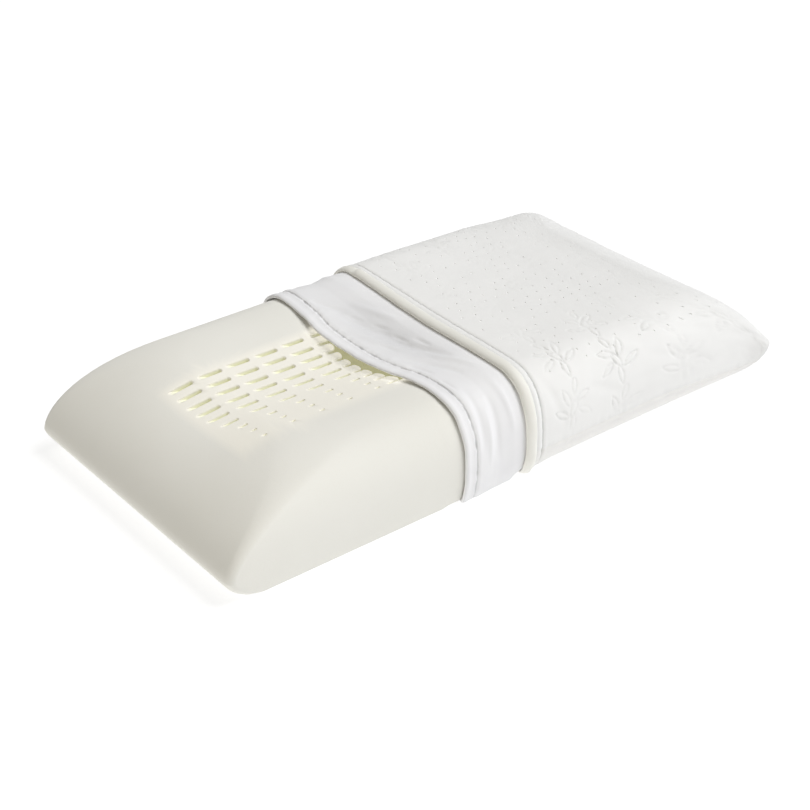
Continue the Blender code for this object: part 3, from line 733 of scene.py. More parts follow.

# %% [markdown]
# The sleeve keeps a number for its material, which paints shade on it in two places: in the stitch line,
# which is pulled in, and over the long hollow, where the cloth dips and no white foam lies close behind it.
# The mouth's two layers move the same way, so that the fold keeps its thickness.

# %% Move the cloth and give it its thickness
SPAN_MIDDLE, SPAN_REACH = (0.054, 0.015), (0.024, 0.095)
STITCH_SHADE, STITCH_SHADE_REACH = 0.9, 1.5 * MM
EDGE_WAVE, WAVE_FADE = 0.9 * MM, (0.010, 0.030)
BACK_LEAN, BACK_LEAN_RUN, LEAN_FADE = 5.0 * MM, (0.09, 0.19), (0.010, 0.070)
places, ways = corners_of(sleeve), outward(sleeve)
# Painted shade: the sleeve is darker over the long hollow and in the stitch line
span_x, span_y = (behind - SPAN_MIDDLE[0]) / SPAN_REACH[0], (places[:, 1] - SPAN_MIDDLE[1]) / SPAN_REACH[1]
pressed_and_shaded = np.exp(-span_x ** 2 - span_y ** 2) * (places[:, 2] > 0.08)
pressed_and_shaded += STITCH_SHADE * pulled * np.exp(-(stitch_gap / STITCH_SHADE_REACH) ** 2) * on_outside
keep(sleeve, "pressed_and_shaded", pressed_and_shaded)
fold_ways = ways * np.where(turn > math.pi / 2, -1.0, 1.0)[:, None]
places += np.where(folded[:, None], fold_ways * 0.8 * ripple[:, None], ways * lift[:, None])
places[:, 0] += EDGE_WAVE * uneven(around, 0.075, 5) * (1.0 - smooth(behind, *WAVE_FADE))
places[:, 0] += BACK_LEAN * smooth(places[:, 1], *BACK_LEAN_RUN) * (1.0 - smooth(behind, *LEAN_FADE))
press(sleeve, places)
finish_with(sleeve, "SOLIDIFY", thickness=JERSEY, offset=-1.0, use_even_offset=True, use_rim=True)
shade(sleeve, 60)
report(sleeve)

# %% [markdown]
# ## The outer cover
# The outer cover is a thick double knit. Leaf sprigs and small pin-pricks are pressed into it, and
# its top and bottom panels meet in a seam low on the side. The sprigs repeat over the whole
# cover, but the cloth is stretched flat over the top, so that they stand up only where it
# turns over the shoulder. The pattern is an ordinary one: leaves either side of a stem.

# %% The cover's layer
KNIT, COVER_GROWTH = 2.0 * MM, 6.2 * MM
MOUTH_TABLE = (
    # behind the rolled edge, swell, hollow
    (0.000, 0.2 * MM, 1.6 * MM),
    (0.003, 1.3 * MM, 1.6 * MM),
    (0.006, 1.3 * MM, 1.6 * MM),
    (0.0078, 0.4 * MM, 1.7 * MM),
    (0.0088, -1.5 * MM, 1.8 * MM),
    (0.0100, 0.2 * MM, 1.7 * MM),
    (0.013, 0.8 * MM, 1.6 * MM),
    (0.045, 0.8 * MM, 1.4 * MM),
    (0.120, 0.4 * MM, 1.4 * MM),
)


def cover_layer(station):
    """Growth, hollow and base of the cover's outer face."""
    behind = station - PANEL_X
    return COVER_GROWTH + table(MOUTH_TABLE, 1, behind), table(MOUTH_TABLE, 2, behind), 0.0 * station


# %% [markdown]
# One sprig is a small set of leaves in a table. The height at a place is found from how near it
# lies to a leaf's outline or vein, which are pressed in, and how far inside a leaf it is, because
# a leaf puffs up between its lines. The repeat is a half drop: every other column is moved by
# half a step, as in many woven and knitted patterns.


# %% One sprig, as a height pressed into flat cloth
LEAVES = (
    # middle along and across, half length, half width, angle in degrees
    (0.000, 0.000, 12.0, 4.0, 62),
    (12.5, 9.0, 11.5, 3.8, 18),
    (-9.0, 12.0, 11.5, 3.8, 112),
    (15.5, -8.0, 11.0, 3.6, -28),
    (-2.0, -17.5, 11.0, 3.7, 84),
    (-17.0, -5.0, 11.0, 3.6, 150),
    (5.0, 23.0, 9.5, 3.3, 70),
)
SPRIG_PITCH = (0.072, 0.062)
LINE_WIDTH, VEIN_WIDTH, VEIN_SHARE, VEIN_DEPTH, LEAF_PUFF = 1.1, 1.0, 0.6, 0.35, 0.55


def sprig(along, around):
    """Depth of the leaf outlines at each place, from 0 to 1, and below 0 where a leaf puffs up."""
    column = np.round(along / SPRIG_PITCH[0])
    shifted = around + SPRIG_PITCH[1] / 2 * (column % 2)
    row = np.round(shifted / SPRIG_PITCH[1])
    flip = np.where((row + column) % 2 > 0.5, -1.0, 1.0)
    local_x = (along - column * SPRIG_PITCH[0]) / MM * flip
    local_y = (shifted - row * SPRIG_PITCH[1]) / MM
    depth = np.zeros_like(along)
    puff = np.zeros_like(along)
    for middle_x, middle_y, half_length, half_width, degrees in LEAVES:
        turn = math.radians(degrees)
        across_x, across_y = local_x - middle_x, local_y - middle_y
        length_way = np.abs(across_x * math.cos(turn) + across_y * math.sin(turn))
        width_way = np.abs(-across_x * math.sin(turn) + across_y * math.cos(turn))
        share = np.clip(length_way / half_length, 0.0, 1.0)
        edge = half_width * (1.0 - share ** 2)
        beyond = np.maximum(0.0, length_way - half_length)
        gap = np.hypot(width_way - edge, beyond)
        vein = np.hypot(width_way, np.maximum(0.0, length_way - half_length * VEIN_SHARE))
        depth = np.maximum(depth, np.exp(-(gap / LINE_WIDTH) ** 2))
        depth = np.maximum(depth, VEIN_DEPTH * np.exp(-(vein / VEIN_WIDTH) ** 2))
        puff = np.maximum(puff, np.clip(1.0 - width_way / (edge + 0.01), 0.0, 1.0) * (beyond == 0))
    return depth - LEAF_PUFF * puff * (1.0 - depth)


# %% The two panels
MOUTH_CELLS_END = PANEL_X + 0.014
cover_planes = spread(PANEL_X, 8, MOUTH_CELLS_END, 58, 0.32, 14, CORE_RIGHT)
cover_rows = spread(-CORE_HALF_WIDTH, 50, CORE_HALF_WIDTH)
cover_top = cut_box(
    "cover_top_panel", (PANEL_X, -CORE_HALF_WIDTH, WIDEST), (CORE_RIGHT, CORE_HALF_WIDTH, CORE_HEIGHT),
    (cover_planes, cover_rows, levels(1, 23)), finer=1)
remove_side(cover_top, lambda middle: middle.x < PANEL_X + 1e-5 or middle.z < WIDEST + 1e-6)
cover_bottom = cut_box(
    "cover_bottom_panel", (PANEL_X, -CORE_HALF_WIDTH, 0), (CORE_RIGHT, CORE_HALF_WIDTH, WIDEST),
    (cover_planes[::2], cover_rows[::2], levels(8, 1)), finer=1)
remove_side(cover_bottom, lambda middle: middle.x < PANEL_X + 1e-5 or middle.z > WIDEST - 1e-6)
report(cover_bottom)

# %% [markdown]
# The relief needs fine cells, and a whole panel of them would be too many. So only the stretch of
# cloth over the near shoulder, where the sprigs stand up, is subdivided once more.

# %% Finer cells where the sprigs stand up
SHOWN_ALONG, SHOWN_ROUND = (0.032, 0.205), (-0.236, -0.090)
def refine(piece, along_range, around_range):
    """Cut the cells of one stretch of cloth again."""
    middles = np.array([face.center for face in piece.data.polygons])
    along, around = flat_place(middles)
    inside = (along > along_range[0]) & (along < along_range[1])
    inside &= (around > around_range[0]) & (around < around_range[1])
    choose_only(piece)
    piece.data.polygons.foreach_set("select", inside)
    bpy.ops.object.mode_set(mode="EDIT")
    bpy.ops.mesh.select_mode(type="FACE")
    bpy.ops.mesh.subdivide(number_cuts=1)
    bpy.ops.mesh.select_all(action="DESELECT")
    bpy.ops.mesh.select_mode(type="VERT")
    bpy.ops.object.mode_set(mode="OBJECT")


refine(cover_top, SHOWN_ALONG, SHOWN_ROUND)
report(cover_top)

# %% [markdown]
# Pressing the panels: first the form, then the seam, which draws both edges in, then the
# puckers behind the rolled edge, the sprigs and a few soft rumples on the low side. Each part of
# the relief is a height on the flat cloth, and the sum moves every corner the way it faces.

# %% The cover's creases
COVER_CREASES = (
    # start, stop (metres along the pillow, metres round it), half width, depth
    ((0.035, -0.170), (0.060, -0.235), 6.0 * MM, 0.9 * MM),
    ((0.095, -0.200), (0.150, -0.225), 6.0 * MM, 0.8 * MM),
    ((0.180, -0.195), (0.235, -0.222), 6.5 * MM, 0.9 * MM),
    ((0.215, -0.165), (0.275, -0.190), 5.5 * MM, -0.7 * MM),
    ((0.262, -0.205), (0.330, -0.232), 6.0 * MM, 0.9 * MM),
    ((0.300, -0.160), (0.352, -0.200), 6.5 * MM, 0.9 * MM),
    ((0.130, -0.150), (0.175, -0.185), 5.0 * MM, -0.6 * MM),
    ((0.070, 0.190), (0.130, 0.225), 6.0 * MM, 0.9 * MM),
    ((0.190, 0.170), (0.260, 0.210), 6.5 * MM, 0.9 * MM),
    ((0.290, 0.185), (0.340, 0.225), 6.0 * MM, 0.8 * MM),
    ((0.420, -0.080), (0.475, -0.110), 6.0 * MM, 0.8 * MM),
    ((0.425, 0.030), (0.480, 0.000), 6.5 * MM, 0.8 * MM),
    ((0.415, 0.105), (0.470, 0.085), 6.0 * MM, 0.7 * MM),
)


# %% The relief of the sprigs
LEAF_DEPTH, LEAF_START = 2.6 * MM, (0.014, 0.026)
SHOULDER_ROUND, SHOULDER_REACH, END_SHOULDER, END_REACH = 0.172, 0.055, 0.420, 0.045
SHOULDER_FADE = (0.12, 0.26)


def leaf_relief(box, along, around):
    """The sprigs' height: strong on the shoulders, where the cloth isn't stretched, and uneven all over."""
    shoulder = np.exp(-((np.abs(around) - SHOULDER_ROUND) / SHOULDER_REACH) ** 2)
    shoulder *= 1.0 - 0.45 * smooth(box[:, 0], *SHOULDER_FADE)
    end_shoulder = np.exp(-((along - END_SHOULDER) / END_REACH) ** 2)
    strength = 0.22 + 0.78 * np.maximum(shoulder, 0.4 * end_shoulder)
    patch = 0.62 + 0.38 * uneven(along + 0.7 * around, 0.11, 7)
    broken = 0.72 + 0.40 * uneven(along - around, 0.020, 12) + 0.30 * uneven(along + around, 0.013, 13)
    strength *= np.clip(patch, 0.1, 1.0) * np.clip(broken, 0.2, 1.1)
    return -LEAF_DEPTH * sprig(along, around) * strength * smooth(box[:, 0] - PANEL_X, *LEAF_START)


# %% The relief of the seam
SEAM_SINK, SEAM_REACH, SEAM_PUCKER, SEAM_PUCKER_REACH = 0.7 * MM, 2.0 * MM, 0.35 * MM, 7.0 * MM


def seam_relief(box):
    """How far each corner lies from the seam, and the seam's own sunk line and puckers."""
    flat_face = (box[:, 2] > CORE_HEIGHT - 1e-6) | (box[:, 2] < 1e-6)
    gap = np.where(flat_face, 1.0, np.abs(down_side(box[:, 2]) - SIDE_RUN[-1]))
    way = np.where(np.abs(box[:, 0] - CORE_RIGHT) < 1e-5, box[:, 1], box[:, 0])
    height = -SEAM_SINK * np.exp(-(gap / SEAM_REACH) ** 2)
    return gap, height + SEAM_PUCKER * uneven(way, 0.013, 4) * np.exp(-(gap / SEAM_PUCKER_REACH) ** 2)


# %% Press the panels
BACK_DROP, BACK_DROP_X, BACK_DROP_Y, BACK_DROP_Z = 2.5 * MM, (0.08, 0.22), (0.02, 0.12), (0.06, 0.11)
PANEL_EASING, SEAM_OPENING = 300, 0.08 * MM
MOUTH_CREASE, MOUTH_PUCKER, MOUTH_PUCKER_REACH = 0.009, 0.40 * MM, 5.0 * MM
SOFT_HEIGHT, FULLY_PRESSED, MOUTH_SHADE_REACH = 0.35 * MM, 1.4 * MM, 1.2 * MM


def press_panel(panel, seam_side):
    """Press one panel, and give it its seam, puckers, sprigs and creases."""
    box = corners_of(panel)
    mark_cloth(panel, box)
    along, around = flat_place(box)
    behind = box[:, 0] - PANEL_X
    x, y, z = push_ears(on_pillow(box, box[:, 0], cover_layer)).T
    z = z - BACK_DROP * smooth(x, *BACK_DROP_X) * smooth(y, *BACK_DROP_Y) * smooth(z, *BACK_DROP_Z)
    press(panel, np.column_stack([x, y, z]))
    soften(panel, shoulder_share(box), PANEL_EASING)
    seam_gap, seam = seam_relief(box)
    leaf = leaf_relief(box, along, around)
    mouth = np.exp(-((behind - MOUTH_CREASE) / MOUTH_PUCKER_REACH) ** 2)
    height = leaf + MOUTH_PUCKER * uneven(around, 0.0125, 6) * mouth
    height += SOFT_HEIGHT * uneven(along * 1.1 + around, 0.060, 8) * uneven(around - 0.6 * along, 0.050, 9)
    for start, stop, half_width, depth in COVER_CREASES:
        height += crease(along, around, start, stop, half_width, depth)
    # Painted shade in the sprigs' grooves and in the crease behind the rolled edge
    pressed_and_shaded = 0.5 * np.clip(-leaf / FULLY_PRESSED, 0.0, 1.0)
    pressed_and_shaded += 0.8 * np.exp(-((behind - MOUTH_CREASE) / MOUTH_SHADE_REACH) ** 2)
    keep(panel, "pressed_and_shaded", pressed_and_shaded * np.clip(z / 0.02, 0.0, 1.0))
    height *= (1.0 - np.exp(-(seam_gap / (3.0 * MM)) ** 2)) * smooth(z, 0.003, 0.014)
    moved = corners_of(panel) + outward(panel) * (height + seam)[:, None]
    moved[:, 2] += SEAM_OPENING * seam_side * (seam_gap < 0.1 * MM)
    press(panel, moved)


press_panel(cover_top, 1.0)
press_panel(cover_bottom, -1.0)
print("panels pressed:", cover_top.name, cover_bottom.name)

# %% [markdown]
# The pin-pricks are too small for the cells, so each is modelled by hand on the face under it: the
# face is inset, and the small face left inside is pushed in. They stand in slightly uneven
# diagonal rows, fewer towards the covered end. The cloth is thickened only afterwards, so that
# its inner face follows the pricks.

# %% Where the pin-pricks are wanted
PRICK_PITCH, PRICK_ROW_SHARE, PRICK_WANDER = 0.0190, 0.82, 1.3 * MM
PRICK_WIDTH, PRICK_DEPTH, PRICK_REACH, PRICK_MISS = 0.35 * MM, -0.95 * MM, 1.25 * MM, 3 * MM
random = np.random.default_rng(11)
wanted = []
for row in range(-11, 12):
    for column in range(24):
        step = column + 0.5 * (row % 2)
        along = PANEL_X + 0.026 + PRICK_PITCH * step + random.normal(0, PRICK_WANDER)
        around = PRICK_PITCH * PRICK_ROW_SHARE * row + random.normal(0, PRICK_WANDER)
        kept = random.random() < 0.70 - 0.60 * max(0.0, (along - 0.20) / 0.15)
        if along < CORE_RIGHT - 0.055 and kept:
            wanted.append((along, around))
print("pin-pricks wanted:", len(wanted))

# %% Press them into the top panel
uv = read(cover_top.data.uv_layers["cloth"].data, "uv", 2, np.float32)
start = read(cover_top.data.polygons, "loop_start", kind=np.int64)
total = read(cover_top.data.polygons, "loop_total", kind=np.int64)
face_uv = np.add.reduceat(uv, start, axis=0) / total[:, None]
picked = np.zeros(len(start), bool)
for along, around in wanted:
    gap = np.hypot(face_uv[:, 0] - along, face_uv[:, 1] - around)
    if gap.min() < PRICK_MISS:
        picked[gap.argmin()] = True
        picked |= gap < PRICK_REACH
choose_only(cover_top)
cover_top.data.polygons.foreach_set("select", picked)
bpy.ops.object.mode_set(mode="EDIT")
bpy.ops.mesh.select_mode(type="FACE")
bpy.ops.mesh.inset(thickness=PRICK_WIDTH, depth=PRICK_DEPTH, use_individual=False)
bpy.ops.mesh.select_mode(type="VERT")
bpy.ops.mesh.select_all(action="DESELECT")
bpy.ops.object.mode_set(mode="OBJECT")
print("faces in pin-pricks:", int(picked.sum()))
for panel in (cover_top, cover_bottom):
    finish_with(panel, "SOLIDIFY", thickness=KNIT, offset=-1.0, use_even_offset=False, use_rim=True)
    shade(panel, 55)
    report(panel)

# %% [markdown]
# ## The rolled edge
# The mouth of the outer cover is rolled into a soft cream tube. A torus is the natural start: it
# is already a tube that closes on itself. Its long way round is laid along the pillow's
# outline at the mouth, and its short way becomes the tube's flattened section.

# %% A tube, and where its cells lie in the round and in the section
ROLL_CELLS, ROLL_SIDES, TORUS_RADIUS, TORUS_TUBE = 420, 20, 0.2, 0.006
bpy.ops.object.select_all(action="DESELECT")
bpy.ops.mesh.primitive_torus_add(major_segments=ROLL_CELLS, minor_segments=ROLL_SIDES,
                                 major_radius=TORUS_RADIUS, minor_radius=TORUS_TUBE)
roll = bpy.context.object
roll.name = "rolled_edge"
roll.data.name = "rolled_edge"
round_x, round_y, round_z = corners_of(roll).T
share = np.arctan2(round_y, round_x) / (2 * math.pi) % 1.0
section = np.arctan2(round_z, np.hypot(round_x, round_y) - TORUS_RADIUS)
print("tube corners:", len(share))


# %% The way round the pillow at the mouth
def round_the_pillow(share, grow, hollow, base):
    """Points round the pillow at the mouth: top, front side, foot and back side, for shares of a turn."""
    top_run, side_run = 2 * PLATEAU_HALF, SIDE_RUN[-1] + WIDEST
    foot_run = 2 * (CORE_HALF_WIDTH - 0.01)
    stops = np.cumsum([0, top_run, side_run, foot_run, side_run])
    way = share * stops[-1]
    part = np.clip(np.searchsorted(stops, way, side="right") - 1, 0, 3)
    inside = way - stops[part]
    side_z = np.linspace(0, CORE_HEIGHT, 400)
    down = np.where(part == 1, inside, np.where(part == 3, side_run - inside, 0))
    z_side = np.interp(down, down_side(side_z)[::-1], side_z[::-1])
    y_top = CORE_HALF_WIDTH * (1 - 2 * inside / top_run)
    y_foot = -CORE_HALF_WIDTH + 2 * CORE_HALF_WIDTH * inside / foot_run
    y = np.select([part == 0, part == 1, part == 2], [y_top, -CORE_HALF_WIDTH, y_foot], CORE_HALF_WIDTH)
    z = np.select([part == 0, part == 2], [CORE_HEIGHT, 0.0], z_side)
    box = np.column_stack([np.full_like(y, EDGE_X), y, z])
    return on_pillow(box, box[:, 0], lambda station: (grow, hollow, base)), way


# %% Lay the roll round the pillow
ROLL_IN, ROLL_OUT, ROLL_HOLLOW, ROLL_LIFT = 3.2 * MM, 10.6 * MM, 2.9 * MM, 2.2 * MM
ROLL_HALF_WIDTH, ROLL_FORWARD, ROLL_TIP = 6.6 * MM, 1.2 * MM, 1.8 * MM
ROLL_SWELL, UNDER_THINNER, UNDER_SHARES = 0.25 * MM, 2.6 * MM, (0.60, 0.72)
WIDTH_CHANGE, ROLL_WANDER, ROLL_BACK_LEAN = 0.30 * MM, 0.5 * MM, 3.0 * MM
swell = ROLL_SWELL * uneven(share * 1.15, 0.085, 12) - UNDER_THINNER * smooth(share, *UNDER_SHARES)
inner, way = round_the_pillow(share, ROLL_IN, ROLL_HOLLOW, ROLL_LIFT)
outer, _ = round_the_pillow(share, ROLL_OUT + swell, ROLL_HOLLOW, 0.0)
middle = (inner + outer) / 2
across, up = np.cos(section), np.sin(section)
half = ROLL_HALF_WIDTH + WIDTH_CHANGE * uneven(way, 0.060, 13)
half *= 0.80 + 0.20 * smooth(middle[:, 2], 0.004, 0.016)
places = middle + (outer - inner) / 2 * up[:, None]
places[:, 0] += ROLL_TIP * up - half * across - ROLL_FORWARD + ROLL_WANDER * uneven(way, 0.140, 14)
places[:, 0] += ROLL_BACK_LEAN * smooth(places[:, 1], *BACK_LEAN_RUN)
press(roll, places)
turn_outward(roll)
shade(roll, 60)
report(roll)


# %% [markdown]
# ## Effects that the finishes share
# Knitted loops, a fibre fuzz and a soft mottle in the colour are node groups, because more than
# one finish uses them. The foam's pores are a group as well, which keeps the foam's own material
# short. Each puts out a height or a mask, and the shader stays in the material.

# %% Node helpers
def feed(tree, socket, value):
    """Give a socket a fixed value, or link another node's socket to it."""
    if isinstance(value, bpy.types.NodeSocket):
        tree.links.new(value, socket)
    else:
        socket.default_value = value


def new_group(name, height_name, **inputs):
    """A node group with a vector, named numbers and one result, and its input and output nodes."""
    group = bpy.data.node_groups.new(name, "ShaderNodeTree")
    group.interface.new_socket(name="Place", in_out="INPUT", socket_type="NodeSocketVector")
    for label, value in inputs.items():
        socket = group.interface.new_socket(name=label, in_out="INPUT", socket_type="NodeSocketFloat")
        socket.default_value = value
    group.interface.new_socket(name=height_name, in_out="OUTPUT", socket_type="NodeSocketFloat")
    given = group.nodes.new("NodeGroupInput").outputs
    return group, given, group.nodes.new("NodeGroupOutput").inputs[height_name]


def math_node(tree, operation, *values):
    """A Math node whose inputs are numbers or other nodes' sockets."""
    node = tree.nodes.new("ShaderNodeMath")
    node.operation = operation
    for socket, value in zip(node.inputs, values):
        feed(tree, socket, value)
    return node.outputs[0]


def noise_node(tree, vector, scale, detail, roughness):
    """A Noise texture on a vector."""
    node = tree.nodes.new("ShaderNodeTexNoise")
    settings = {"Vector": vector, "Scale": scale, "Detail": detail, "Roughness": roughness}
    for label, value in settings.items():
        feed(tree, node.inputs[label], value)
    return node.outputs["Fac"]


# %% Knitted loops
def make_knit_group():
    """Rows of small V-shaped loops on flat cloth, as a height from 0 to 1."""
    lean_of_loop, furrow_depth = 0.9, 3.0
    group, given, height = new_group("knitted loops", "Height", Loops_across=700.0, Loops_along=900.0)
    split = group.nodes.new("ShaderNodeSeparateXYZ")
    group.links.new(given["Place"], split.inputs[0])
    wale = math_node(group, "MULTIPLY", split.outputs["Y"], given["Loops_across"])
    course = math_node(group, "MULTIPLY", split.outputs["X"], given["Loops_along"])
    inside = math_node(group, "SUBTRACT", math_node(group, "FRACT", wale), 0.5)
    off = math_node(group, "ABSOLUTE", inside)
    lean = math_node(group, "ADD", course, math_node(group, "MULTIPLY", off, lean_of_loop))
    wave = math_node(group, "COSINE", math_node(group, "MULTIPLY", lean, 2 * math.pi))
    raised = math_node(group, "ADD", math_node(group, "MULTIPLY", wave, 0.5), 0.5)
    dip = math_node(group, "MULTIPLY", math_node(group, "POWER", off, 2.0), furrow_depth)
    group.links.new(math_node(group, "MULTIPLY", raised, math_node(group, "SUBTRACT", 1.0, dip)), height)
    return group


# %% Soft mottle and fibre fuzz
def make_mottle_group():
    """A very soft light and dark over the surface, as a share to mix two near colours."""
    group, given, share = new_group("soft mottle", "Share", Scale=14.0, Contrast=1.0)
    broad = noise_node(group, given["Place"], given["Scale"], 3.0, 0.55)
    centred = math_node(group, "SUBTRACT", broad, 0.5)
    spread_out = math_node(group, "MULTIPLY", centred, given["Contrast"])
    group.links.new(math_node(group, "ADD", spread_out, 0.5), share)
    return group


def make_fuzz_group():
    """Tiny fibres, as a height."""
    group, given, height = new_group("fibre fuzz", "Height", Scale=900.0)
    group.links.new(noise_node(group, given["Place"], given["Scale"], 4.0, 0.7), height)
    return group


# %% Foam pores
def make_pore_group():
    """Small open pores in a foam skin: 0 in a pore and 1 on the skin."""
    group, given, height = new_group("foam pores", "Height", Scale=420.0, Size=0.22)
    cells = group.nodes.new("ShaderNodeTexVoronoi")
    group.links.new(given["Place"], cells.inputs["Vector"])
    group.links.new(given["Scale"], cells.inputs["Scale"])
    ramp = group.nodes.new("ShaderNodeMapRange")
    group.links.new(cells.outputs["Distance"], ramp.inputs["Value"])
    group.links.new(given["Size"], ramp.inputs["From Max"])
    group.links.new(ramp.outputs["Result"], height)
    return group


knit_group, mottle_group = make_knit_group(), make_mottle_group()
fuzz_group, pore_group = make_fuzz_group(), make_pore_group()
print("effects:", [group.name for group in (knit_group, mottle_group, fuzz_group, pore_group)])


# %% [markdown]
# ## The finishes
# All five finishes are nearly white, so what tells them apart is small: the foam is warm and matt
# with fine pores, the jersey is cool and thin, the outer knit neutral and thick, its underside a
# little warmer, and the rolled edge cream with a slight sheen. Colours are given as they look on
# screen, from 0 to 255, and made linear for the shader.

# %% Helpers for finishes
def colour(*channels):
    """Red, green and blue from 0 to 255 on screen, made linear."""
    shares = [value / 255 for value in channels]
    return (*(v / 12.92 if v <= 0.04045 else ((v + 0.055) / 1.055) ** 2.4 for v in shares), 1.0)


def new_finish(name, roughness, sheen, sheen_roughness=0.45, specular=0.3):
    """A material with its shader and its constant values set."""
    material = bpy.data.materials.new(name)
    material.use_nodes = True
    shader = material.node_tree.nodes["Principled BSDF"]
    shader.inputs["Roughness"].default_value = roughness
    shader.inputs["Specular IOR Level"].default_value = specular
    shader.inputs["Sheen Weight"].default_value = sheen
    shader.inputs["Sheen Roughness"].default_value = sheen_roughness
    return material, material.node_tree, shader


def place_group(tree, group, **values):
    """Put a shared effect in a material, with its own values."""
    node = tree.nodes.new("ShaderNodeGroup")
    node.node_tree = group
    for label, value in values.items():
        feed(tree, node.inputs[label], value)
    return node.outputs[0]


def mix_colour(tree, share, first, second, blend="MIX"):
    """Mix two colours, each a fixed one or a socket, by a share."""
    node = tree.nodes.new("ShaderNodeMix")
    node.data_type = "RGBA"
    node.blend_type = blend
    for label, value in (("Factor", share), ("A", first), ("B", second)):
        feed(tree, node.inputs[label], value)
    return node.outputs["Result"]


def add_bump(tree, shader, height, distance, strength=1.0, before=None):
    """A Bump node on a height, in front of the one before, feeding the shader."""
    bump = tree.nodes.new("ShaderNodeBump")
    bump.inputs["Distance"].default_value = distance
    bump.inputs["Strength"].default_value = strength
    tree.links.new(height, bump.inputs["Height"])
    if before is not None:
        tree.links.new(before, bump.inputs["Normal"])
    tree.links.new(bump.outputs["Normal"], shader.inputs["Normal"])
    return bump.outputs["Normal"]


# %% Where a finish reads its place and its kept numbers
def object_place(tree):
    """The place on the piece, in metres."""
    return tree.nodes.new("ShaderNodeTexCoord").outputs["Object"]


def cloth_place(tree):
    """The place on the flat cloth, in metres."""
    node = tree.nodes.new("ShaderNodeUVMap")
    node.uv_map = "cloth"
    return node.outputs["UV"]


def kept_number(tree, label):
    """A number that the piece keeps at each corner of its mesh."""
    node = tree.nodes.new("ShaderNodeAttribute")
    node.attribute_name = label
    return node.outputs["Fac"]


def rise_between(tree, value, start, stop):
    """0 below start, 1 above stop, with an even rise between."""
    node = tree.nodes.new("ShaderNodeMapRange")
    node.interpolation_type = "SMOOTHSTEP"
    for label, given in (("Value", value), ("From Min", start), ("From Max", stop)):
        feed(tree, node.inputs[label], given)
    return node.outputs["Result"]


# %% [markdown]
# The foam's colour turns yellow-green and darker from near to far down a well: painted light and painted
# shade. Its painted glow is a second such mix: a little in the vented zone, more in the wells, and most on
# the ribs' ends just under the hem, where the thin cloth lets light in.

# %% Foam
# Colours of the foam's painted glow: an emission that stands in for light passing through the foam and the
# hem's thin cloth
DARK, VENTED_GLOW, THROUGH_GLOW = (0, 0, 0, 1), (0.040, 0.042, 0.036, 1), (0.40, 0.39, 0.355, 1)
WELL_GLOW, WELL_THROUGH_GLOW = (0.085, 0.085, 0.060, 1), (0.145, 0.140, 0.115, 1)
# Depths in millimetres over which the painted light and shade come in down a well
NEAR_MM, FAR_MM = (0.0, 3.0), (2.5, 11.0)


def make_foam():
    """Warm white moulded foam, with painted yellow-green light, painted shade and a painted glow inside its
    wells.
    """
    material, tree, shader = new_finish("moulded_foam", 0.78, 0.05, 0.4, 0.25)
    place = object_place(tree)
    vented, through = kept_number(tree, "vented"), kept_number(tree, "through cloth")
    depth = kept_number(tree, "depth")
    near, far = rise_between(tree, depth, *NEAR_MM), rise_between(tree, depth, *FAR_MM)
    mottle = place_group(tree, mottle_group, Place=place, Scale=11.0, Contrast=1.3)
    pores = place_group(tree, pore_group, Place=place, Scale=520.0, Size=0.20)
    skin = mix_colour(tree, mottle, colour(243, 242, 236), colour(240, 239, 232))
    # Painted light: the vented zone is lighter and warmer, as light passes through the foam between the
    # wells
    skin = mix_colour(tree, vented, skin, colour(248, 245, 236))
    # Painted shade: darker in the pores
    skin = mix_colour(tree, pores, colour(234, 230, 218), skin)
    # Painted light and shade: the colour turns yellow-green and darker down the wells and in the trench
    skin = mix_colour(tree, near, skin, colour(240, 240, 220))
    skin = mix_colour(tree, far, skin, colour(214, 213, 160))
    tree.links.new(skin, shader.inputs["Base Color"])
    # Painted glow: a little in the vented zone, most on the ribs' ends in the hem's shadow, and some down
    # the wells
    above = mix_colour(tree, through, mix_colour(tree, vented, DARK, VENTED_GLOW), THROUGH_GLOW)
    shallow = mix_colour(tree, near, above, WELL_GLOW)
    deep = mix_colour(tree, through, WELL_GLOW, WELL_THROUGH_GLOW)
    tree.links.new(mix_colour(tree, far, shallow, deep), shader.inputs["Emission Color"])
    shader.inputs["Emission Strength"].default_value = 1.0
    fuzz = place_group(tree, fuzz_group, Place=place, Scale=340.0)
    first = add_bump(tree, shader, fuzz, 0.10 * MM)
    add_bump(tree, shader, pores, 0.12 * MM, 0.6, first)
    return material


# %% [markdown]
# The three knits are one recipe with other values: a mottle of two near whites, painted shade in the
# furrows between the loops, and painted shade in the creases, grooves and stitch line that the piece marks.
# The loops follow the cloth's own map, so that they turn with it over the shoulder.

# %% Knitted finishes
LOOP_DEPTH, FUZZ_DEPTH = 0.07 * MM, 0.06 * MM


